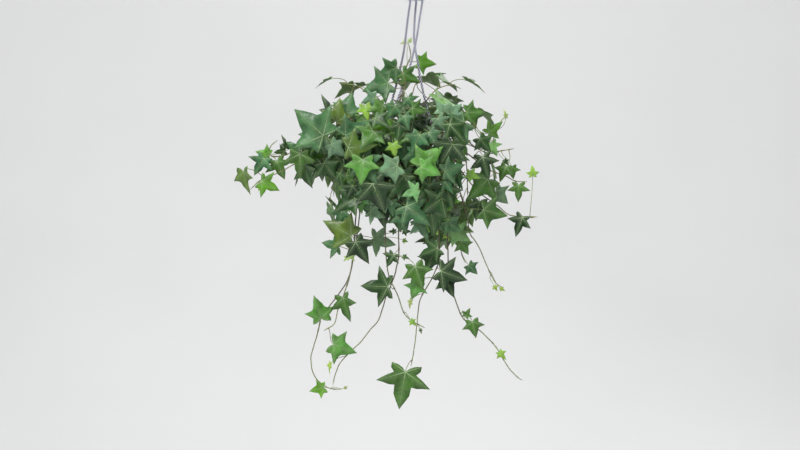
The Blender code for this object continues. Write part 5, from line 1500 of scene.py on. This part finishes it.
@dataclass(frozen=True)
class Undergrowth:
    """The leaves that fill the canopy behind and between those that have solids."""

    plant: Plant
    count: int = 6600
    seed: int = 29
    lengths: tuple[float, float] = (0.020, 0.046)
    large_share: float = 0.45
    shares: tuple[float, ...] = (0.97, 0.88, 0.78, 0.92, 0.66, 0.84, 0.54)
    front_share: float = 0.90
    cords_seen_to: dict[str, float] = field(
        default_factory=lambda: {"left": -0.215, "front": -0.262, "right": -0.255})
    curtain_shares: tuple[float, ...] = (1.06, 0.98, 0.90, 0.82, 0.74, 0.66)
    curtain_width: float = 0.62
    depths: tuple[float, float] = (-0.122, 0.104)
    curtain_heights: tuple[float, float] = (-0.80, 0.42)
    crown_top: float = -0.212
    crown_sides: tuple[float, float] = (-0.085, -0.004)
    tones: tuple[tuple[Tone, int], ...] = (
        (Tone.DARK, 7), (Tone.DEEP, 6), (Tone.MID, 5), (Tone.TEAL, 5), (Tone.OLIVE, 2), (Tone.GREY, 2),
        (Tone.FRESH, 2))

    def hides_cord(self, base: Vector) -> bool:
        """Whether a leaf here would hang in front of a cord that shows."""
        room = 0.017
        for name, lowest in self.cords_seen_to.items():
            for x, y, z in CORD_ROUTES[name]:
                if z * MM > lowest and base.y < y * MM + 0.008:
                    if abs(base.x - x * MM) < room and abs(base.z - z * MM) < room:
                        return True
        return False

    def off_crown(self, base: Vector) -> bool:
        """Whether a leaf here would stand higher than the plant does on this side."""
        left, right = self.crown_sides
        return base.z > self.crown_top and not left < base.x < right

    def grow(self) -> int:
        """Grows the leaves.

        Returns:
            How many found room.
        """
        plant = self.plant
        draw = random.Random(self.seed)
        names = [tone for tone, weight in self.tones for _ in range(weight)]
        made = 0
        for index in range(self.count):
            rise = 0.96 - 1.88 * ((index * 0.618034) % 1.0)
            bearing = index * GOLDEN_TURN + draw.uniform(-20, 20)
            flat = math.sqrt(1.0 - rise * rise)
            way = Vector((flat * math.cos(math.radians(bearing)), flat * math.sin(math.radians(bearing)), rise))
            if index % 4 == 1:
                way.y = -abs(way.y)
            elif index % 4 == 3:
                way.y = abs(way.y)
            share = self.shares[index % len(self.shares)]
            curtain = index % 3 == 0
            if curtain:
                wide = draw.uniform(-self.curtain_width, self.curtain_width)
                way = Vector((wide, -1.0, draw.uniform(*self.curtain_heights))).normalized()
                share = self.curtain_shares[index // 3 % len(self.curtain_shares)]
            elif index % 6 == 1:
                wide = draw.uniform(-self.curtain_width, self.curtain_width)
                way = Vector((wide, 1.0, draw.uniform(*self.curtain_heights))).normalized()
                share = self.curtain_shares[index // 6 % (len(self.curtain_shares) - 1) + 1]
            elif way.y < -0.35:
                share = min(share, self.front_share)
            base = plant.on_canopy(way, share)
            face = (way * 1.1 + UP * 0.4 + Vector([draw.uniform(-0.55, 0.55) for _ in range(3)])).normalized()
            least_y, most_y = self.depths
            if self.hides_cord(base) or self.off_crown(base) or not least_y < base.y < most_y:
                continue
            down = way * 0.5 - UP * 0.8 + Vector([draw.uniform(-0.8, 0.8) for _ in range(3)])
            ahead = (down - face * down.dot(face)).normalized()
            least, most = self.lengths
            middle = (least + most) / 2
            large = index < self.count * self.large_share
            length = draw.uniform(middle, most) if large else draw.uniform(least, middle)
            tone = draw.choice(names)
            # Leaves deep inside the canopy mostly take the dark tones: painted shade.
            if share < 0.8 and draw.random() < 0.7:
                tone = draw.choice((Tone.DARK, Tone.DEEP))
            leaf = Leaf(base, ahead, face, length, draw.uniform(*GROWTH.folds), draw.uniform(*GROWTH.droops),
                        tone)
            made += plant.add_leaf(leaf)
        return made


@dataclass(frozen=True)
class LeafPattern:
    """The shape that every blade is made from: a flat half leaf, cut along its veins and mirrored."""

    margin: tuple[tuple[float, float], ...] = (
        (0.0, 0.0), (0.095, -0.105), (0.230, -0.175), (0.405, -0.205), (0.405, -0.070), (0.365, 0.055),
        (0.500, 0.165), (0.735, 0.350), (0.520, 0.372), (0.365, 0.400), (0.275, 0.465), (0.215, 0.620),
        (0.125, 0.800), (0.055, 0.920), (0.0, 1.03))
    tips: tuple[int, ...] = (3, 7)
    sinuses: tuple[int, ...] = (5, 10)
    vein_cuts: int = 2
    shortest_spoke: float = 0.2
    thickness: float = 0.013
    sinus_pull: float = 0.0
    name: str = "broad"

    def build(self) -> bpy.types.Mesh:
        """Builds the blade, a leaf length long, with its stalk's end at the origin.

        Returns:
            A closed mesh, whose underside has material number 1.
        """
        bm = bmesh.new()
        points = []
        for i, (across, along) in enumerate(self.margin):
            if i in self.sinuses:
                across, along = across * (1.0 - self.sinus_pull), along * (1.0 - self.sinus_pull)
            points.append(Vector((across, along, 0.0)))
        bm.faces.new([bm.verts.new(point) for point in points])
        for i in (*self.tips, *self.sinuses):
            way = points[i].normalized()
            everything = [*bm.verts, *bm.edges, *bm.faces]
            bmesh.ops.bisect_plane(bm, geom=everything, dist=1e-5, plane_co=(0, 0, 0),
                                   plane_no=(way.y, -way.x, 0.0))
        origin = min(bm.verts, key=lambda vert: vert.co.length)
        spokes = [edge for edge in origin.link_edges if edge.calc_length() > self.shortest_spoke]
        bmesh.ops.subdivide_edges(bm, edges=spokes, cuts=self.vein_cuts)
        bmesh.ops.triangulate(bm, faces=bm.faces, quad_method="BEAUTY", ngon_method="BEAUTY")
        bmesh.ops.join_triangles(bm, faces=bm.faces, angle_face_threshold=1.0, angle_shape_threshold=0.9)
        bmesh.ops.mirror(bm, geom=[*bm.verts, *bm.edges, *bm.faces], axis="X", merge_dist=1e-5)
        bmesh.ops.remove_doubles(bm, verts=bm.verts, dist=1e-5)
        bmesh.ops.recalc_face_normals(bm, faces=bm.faces)
        if sum(face.normal.z for face in bm.faces) < 0.0:
            bmesh.ops.reverse_faces(bm, faces=bm.faces)
        for vert in bm.verts:
            vert.co.z = self.relief(vert)
        bmesh.ops.solidify(bm, geom=list(bm.faces), thickness=self.thickness)
        bmesh.ops.recalc_face_normals(bm, faces=bm.faces)
        if bm.calc_volume(signed=True) < 0.0:
            bmesh.ops.reverse_faces(bm, faces=bm.faces)
        uv = bm.loops.layers.uv.new("leaf")
        for face in bm.faces:
            face.material_index = 1 if face.normal.z < -0.35 else 0
            for loop in face.loops:
                loop[uv].uv = (loop.vert.co.x + 0.5, loop.vert.co.y + 0.5)
        mesh = bpy.data.meshes.new(f"leaf_{self.name}")
        bm.to_mesh(mesh)
        bm.free()
        return mesh

    def relief(self, vert: bmesh.types.BMVert) -> float:
        """Height of a corner off the flat blade, in leaf lengths: veins low, margins high, tips curled down."""
        reach = Vector((vert.co.x, vert.co.y)).length
        if vert.is_boundary:
            tip = reach > 0.70 or (vert.co.y < -0.17 and abs(vert.co.x) > 0.33)
            return -0.018 if tip else 0.020
        on_vein = abs(vert.co.x) < 1e-4 or any(
            abs(abs(vert.co.x) * self.margin[i][1] - vert.co.y * self.margin[i][0]) < 1e-4 for i in self.tips)
        return -0.008 if on_vein else 0.012


@dataclass(frozen=True)
class Ivy:
    """The dressed plant: every vine as one piece, its blades, stalks and stem detailed."""

    plant: Plant
    stem_sides: int = 8
    stem_step: float = 0.0036
    node_swell: float = 0.40
    node_reach: float = 0.0022
    kink: float = 0.00022
    stalk_sides: int = 6
    stalk_steps: tuple[float, ...] = (0.0, 0.07, 0.18, 0.34, 0.52, 0.72, 0.88, 1.0)
    rib_reach: tuple[float, ...] = (0.10, 0.28, 0.48)
    seed: int = 3
    root_tint: tuple[int, int, int] = (98, 82, 74)
    old_tint: tuple[int, int, int] = (112, 104, 86)
    young_tint: tuple[int, int, int] = (148, 160, 84)
    stalk_root_tint: tuple[int, int, int] = (122, 104, 74)
    stalk_end_tint: tuple[int, int, int] = (130, 160, 84)

    def patterns(self) -> list[bpy.types.Mesh]:
        """Blades of three habits: the usual one, a deeply cut one and a narrow young one."""
        usual = LeafPattern()
        cut = LeafPattern(sinus_pull=0.17, name="cut")
        narrow = tuple((across * 0.84, along if along > 0 else along * 0.9) for across, along in usual.margin)
        return [usual.build(), cut.build(), LeafPattern(margin=narrow, sinus_pull=0.08, name="narrow").build()]

    def add_part(self, bm: bmesh.types.BMesh, part: bpy.types.Mesh) -> list[bmesh.types.BMVert]:
        """Appends a mesh to the vine and returns its corners."""
        before = len(bm.verts)
        bm.from_mesh(part)
        bm.verts.ensure_lookup_table()
        return bm.verts[before:]

    def add_blade(self, bm: bmesh.types.BMesh, leaf: Leaf, pattern: bpy.types.Mesh, draw: random.Random) -> None:
        """Lays a blade where its leaf is, bent in its own way.

        Args:
            bm: The vine.
            leaf: The leaf.
            pattern: The flat blade.
            draw: Source of its small differences.
        """
        tint = bm.verts.layers.float_color["tint"]
        colour = self.blade_colour(leaf.tone, draw)
        curl, twist = draw.uniform(0.02, 0.12), draw.uniform(-0.10, 0.10)
        waves = [(draw.uniform(0.006, 0.022), draw.uniform(0, math.tau), draw.randint(2, 4)) for _ in range(2)]
        skew = draw.uniform(-0.05, 0.05)
        lengthen = draw.uniform(0.93, 1.05)
        widen = draw.uniform(0.92, 1.10)
        for vert in self.add_part(bm, pattern):
            across, along, lift = vert.co
            reach = math.hypot(across, along)
            turn = math.atan2(across, along)
            lift -= curl * reach * reach * 0.5
            lift += twist * across * along
            lift += sum(size * reach * math.sin(turn * count + phase) for size, phase, count in waves)
            wide = across * widen + skew * along * (1.0 - along)
            vert.co = leaf.point(wide, along * lengthen, lift * leaf.length)
            edge = min(reach * 1.2, 1.0)
            vert[tint] = (*(value * (0.93 + 0.14 * edge) for value in colour), 1.0)

    def blade_colour(self, tone: Tone, draw: random.Random) -> list[float]:
        """A leaf's own colour, a little off its tone."""
        bright, warm = draw.uniform(0.84, 1.16), draw.uniform(-0.07, 0.07)
        red, green, blue = linear(tone.value)
        return [red * bright * (1 + warm), green * bright, blue * bright * (1 - warm)]

    def add_stalk(self, bm: bmesh.types.BMesh, vine: Vine, leaf: Leaf, draw: random.Random) -> None:
        """Lays a stalk from the stem to its blade, and the midrib that it becomes underneath.

        Args:
            bm: The vine.
            vine: The stem.
            leaf: The leaf.
            draw: Source of its small differences.
        """
        points = list(stalk_points(vine, leaf.mark, leaf.side, leaf, self.stalk_steps))
        inward = vine.path.at(leaf.mark)[0]
        points[0] = points[0].lerp(inward, 0.6)
        count = len(points)
        slim = min(1.0, 0.55 + leaf.length / 0.06)
        radii = []
        for i in range(count):
            share = i / (count - 1)
            flare = 0.45 * max(0.0, 1.0 - share / 0.15) + 0.35 * max(0.0, (share - 0.9) / 0.1)
            radii.append(GROWTH.stalk_radius * slim * (1.05 - 0.25 * share + flare))
        under = GROWTH.blade_thickness * 0.35
        points[-1] = leaf.point(0.0, 0.005, -under)
        for along in self.rib_reach:
            points.append(leaf.point(0.0, along, -under * 0.8 - 0.006 * leaf.length * along))
            radii.append(GROWTH.stalk_radius * slim * (0.85 - 1.35 * along) * 0.9)
        self.add_tube(bm, points, radii, self.stalk_sides, self.stalk_tint(count, len(points), leaf, draw))

    def stalk_tint(self, count: int, total: int, leaf: Leaf, draw: random.Random) -> list[list[float]]:
        """Tint of each of a stalk's rings, brown at the stem and green at the blade."""
        low, high = linear(self.stalk_root_tint), linear(self.stalk_end_tint)
        blush = draw.uniform(0.0, 0.35)
        tints = []
        for i in range(total):
            share = min(1.0, i / (count - 1) + blush * (leaf.length < 0.02))
            tints.append([a + (b - a) * share for a, b in zip(low, high)])
        return tints

    def add_tube(self, bm: bmesh.types.BMesh, points: Sequence[Vector], radii: Sequence[float], sides: int,
                 tints: Sequence[Sequence[float]]) -> None:
        """Extrudes a closed round tube along points into the vine.

        Args:
            bm: The vine.
            points: Centres of its rings.
            radii: Radius at each ring.
            sides: Number of its sides.
            tints: Colour of each ring.
        """
        last = len(points) - 1
        ways = [(points[min(i + 1, last)] - points[max(i - 1, 0)]).normalized() for i in range(last + 1)]
        normal = ways[0].orthogonal().normalized()
        rings = []
        for i, (point, way) in enumerate(zip(points, ways)):
            if i:
                normal = ways[i - 1].rotation_difference(way) @ normal
            normal = (normal - way * normal.dot(way)).normalized()
            rings.append((point, normal, way.cross(normal), circle(radii[i], sides)))
        tube = swept(rings, tints)
        for face in tube.faces:
            face.material_index = 2
        part = bpy.data.meshes.new("tube")
        tube.to_mesh(part)
        tube.free()
        self.add_part(bm, part)
        bpy.data.meshes.remove(part)

    def add_stem(self, bm: bmesh.types.BMesh, vine: Vine, draw: random.Random) -> None:
        """Lays the stem, a little kinked and swollen where its leaves grow.

        Args:
            bm: The vine.
            vine: The stem.
            draw: Source of its small differences.
        """
        length = vine.path.length
        marks = {length * i / round(length / self.stem_step) for i in range(round(length / self.stem_step) + 1)}
        joints = [leaf.mark for leaf in vine.leaves]
        ordered = sorted(mark for mark in marks if all(abs(mark - joint) > 0.0014 for joint in joints)
                         or mark in (0.0, length))
        ordered = sorted({*ordered, *(joint for joint in joints)})
        root, old, young = (linear(tint) for tint in (self.root_tint, self.old_tint, self.young_tint))
        points, radii, tints = [], [], []
        offset = Vector((draw.uniform(-9, 9), draw.uniform(-9, 9), draw.uniform(-9, 9)))
        for mark in ordered:
            point, tangent, _ = vine.path.at(mark)
            share = mark / length
            sway = noise.noise_vector(point * 90.0 + offset)
            sway -= tangent * sway.dot(tangent)
            near = min((abs(mark - joint) for joint in joints), default=1.0)
            swell = self.node_swell * max(0.0, 1.0 - (near / self.node_reach) ** 2)
            end = max(0.0, min(1.0, (length - mark) / 0.006))
            points.append(point + sway * self.kink * 2.2 * min(1.0, mark / 0.01))
            radii.append(vine.radius(mark) * (0.98 + swell) * (0.30 + 0.70 * math.sqrt(end)))
            blend = min(share / 0.55, 1.0)
            tone = [a + (b - a) * blend for a, b in zip(root, old)]
            fresh = max(0.0, (share - 0.55) / 0.45)
            speck = 0.86 + 0.28 * noise.noise(point * 240.0 + offset)
            tints.append([(a + (b - a) * fresh) * speck for a, b in zip(tone, young)])
        self.add_tube(bm, points, radii, self.stem_sides, tints)

    def build_vine(self, vine: Vine, patterns: Sequence[bpy.types.Mesh], finishes: Sequence[bpy.types.Material],
                   draw: random.Random) -> bpy.types.Object:
        """Builds one vine.

        Args:
            vine: The stem and its leaves.
            patterns: The flat blades.
            finishes: Upper side, underside and bark.
            draw: Source of its small differences.

        Returns:
            The vine, which stands for its solid.
        """
        bm = bmesh.new()
        bm.verts.layers.float_color.new("tint")
        bm.loops.layers.uv.new("leaf")
        for leaf in vine.leaves:
            if leaf.length < 0.016 or leaf.tone in (Tone.YOUNG, Tone.LIME):
                pattern = patterns[2]
            else:
                pattern = patterns[draw.choice((0, 0, 1))]
            self.add_blade(bm, leaf, pattern, draw)
            self.add_stalk(bm, vine, leaf, draw)
        self.add_stem(bm, vine, draw)
        piece = finished(f"{vine.name}_ivy", bm, finishes)
        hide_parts(vine.name)
        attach(piece, ROOT_BODY)
        return piece

    def build(self) -> list[bpy.types.Object]:
        """Builds every vine."""
        draw = random.Random(self.seed)
        patterns = self.patterns()
        finishes = [
            LeafFinish("ivy_leaf").make(),
            LeafFinish("ivy_leaf_under", vein_strength=0.5, branch_strength=0.2, gloss=0.58, under=True).make(),
            StemFinish().make(),
        ]
        return [self.build_vine(vine, patterns, finishes, draw) for vine in self.plant.vines]


@dataclass(frozen=True)
class Studio:
    """The pale floor and sweep, the soft lights and the camera."""

    frame_width: float = 1.20
    look_at: tuple[float, float, float] = (-0.024, 0.0, -0.3975)
    distance: float = 3.4
    elevation: float = 3.0
    sensor: float = 36.0
    floor_z: float = -1.20
    floor_width: float = 40.0
    floor_front: float = 22.0
    air: float = 0.36

    def build_camera(self) -> None:
        """Sets the camera up."""
        data = bpy.data.cameras.new("camera")
        data.sensor_width = self.sensor
        data.lens = self.sensor * self.distance / self.frame_width
        camera = bpy.data.objects.new("camera", data)
        bpy.context.scene.collection.objects.link(camera)
        tilt = math.radians(self.elevation)
        back = Vector((0.0, -math.cos(tilt), math.sin(tilt)))
        camera.location = Vector(self.look_at) + back * self.distance
        camera.rotation_mode = "QUATERNION"
        camera.rotation_quaternion = (-back).to_track_quat("-Z", "Y")
        data.clip_end = 50.0
        bpy.context.scene.camera = camera

    def build_floor(self) -> None:
        """Lays the floor as one sheet that curves up into a backdrop."""
        bm = bmesh.new()
        bmesh.ops.create_grid(bm, x_segments=2, y_segments=110, size=0.5)
        for vert in bm.verts:
            along = vert.co.y + 0.5
            vert.co.x *= self.floor_width
            run = along * (self.floor_front + 6.0) - self.floor_front
            bend = max(0.0, run - 2.2)
            radius = 1.8
            if bend <= 0.0:
                vert.co.y, vert.co.z = run, self.floor_z
            elif bend < radius * math.pi / 2:
                vert.co.y = 2.2 + radius * math.sin(bend / radius)
                vert.co.z = self.floor_z + radius * (1 - math.cos(bend / radius))
            else:
                vert.co.y = 2.2 + radius
                vert.co.z = self.floor_z + radius + bend - radius * math.pi / 2
        bmesh.ops.recalc_face_normals(bm, faces=bm.faces)
        graph = Graph("studio_paper")
        tone = graph.mix(graph.ramp(graph.noise(graph.place(), 1.2), 0.3, 0.7, 0.0, 1.0),
                         (0.86, 0.86, 0.86, 1.0), (0.89, 0.89, 0.89, 1.0))
        floor = finished("studio_floor", bm, [graph.finish(Base_Color=tone, Roughness=0.9)])

    def add_light(self, name: str, place: tuple[float, float, float], size: float, power: float,
                  aim: tuple[float, float, float] | None = None) -> None:
        """Adds a square soft light.

        Args:
            name: Its name.
            place: Where it stands.
            size: Length of its side.
            power: Its power in watts.
            aim: What it faces, which is the plant if nothing is given.
        """
        data = bpy.data.lights.new(name, "AREA")
        data.energy = power
        data.size = size
        light = bpy.data.objects.new(name, data)
        bpy.context.scene.collection.objects.link(light)
        light.location = place
        light.rotation_mode = "QUATERNION"
        target = Vector(aim or self.look_at)
        light.rotation_quaternion = (target - light.location).to_track_quat("-Z", "Y")

    def build(self) -> None:
        """Builds the studio."""
        self.build_floor()
        self.add_light("key", (-1.2, -1.9, 2.1), 1.2, 84.0)
        self.add_light("fill", (2.2, -2.4, 0.6), 1.8, 8.0)
        self.add_light("top", (0.1, 0.2, 1.9), 1.6, 22.0)
        self.add_light("rim", (1.3, 1.9, 0.8), 1.2, 16.0)
        self.add_light("backdrop", (0.0, 1.6, 1.7), 2.6, 20.0, aim=(0.0, 4.0, 0.6))
        world = bpy.data.worlds.new("studio_air")
        world.use_nodes = True
        background = world.node_tree.nodes["Background"]
        background.inputs["Color"].default_value = (0.99, 1.0, 1.0, 1.0)
        background.inputs["Strength"].default_value = self.air
        bpy.context.scene.world = world
        bpy.context.scene.view_settings.view_transform = "Standard"


def surface(name: str) -> BVHTree:
    """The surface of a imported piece, for finding what the plant would touch."""
    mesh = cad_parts[name].data
    return BVHTree.FromPolygons([vert.co for vert in mesh.vertices], [list(f.vertices) for f in mesh.polygons])


def main() -> None:
    """Builds the hanging ivy round its frame and reports each piece."""
    logging.basicConfig(level=logging.INFO, format="%(message)s")
    log = logging.getLogger("ivy")
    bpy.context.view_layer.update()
    Studio().build_camera()
    pot = Pot()
    pieces = Hanger(pot).build()
    pieces.append(pot.build())
    pieces.append(Soil(pot).build())
    fixed = [name for name in sorted(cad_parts) if not name.startswith(("canopy", "trail", "left", "right"))
             and name != "top_sprig"]
    plant = Plant(pot, [surface(name) for name in fixed])
    plant.grow()
    log.info("%d leaves have solids", sum(len(vine.leaves) for vine in plant.vines))
    log.info("%d more leaves fill the canopy", Undergrowth(plant).grow())
    pieces += Ivy(plant).build()
    Studio().build()
    for piece in pieces:
        log.info("%s: %d faces", piece.name, len(piece.data.polygons))
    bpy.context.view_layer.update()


if __name__ == "__main__":
    main()
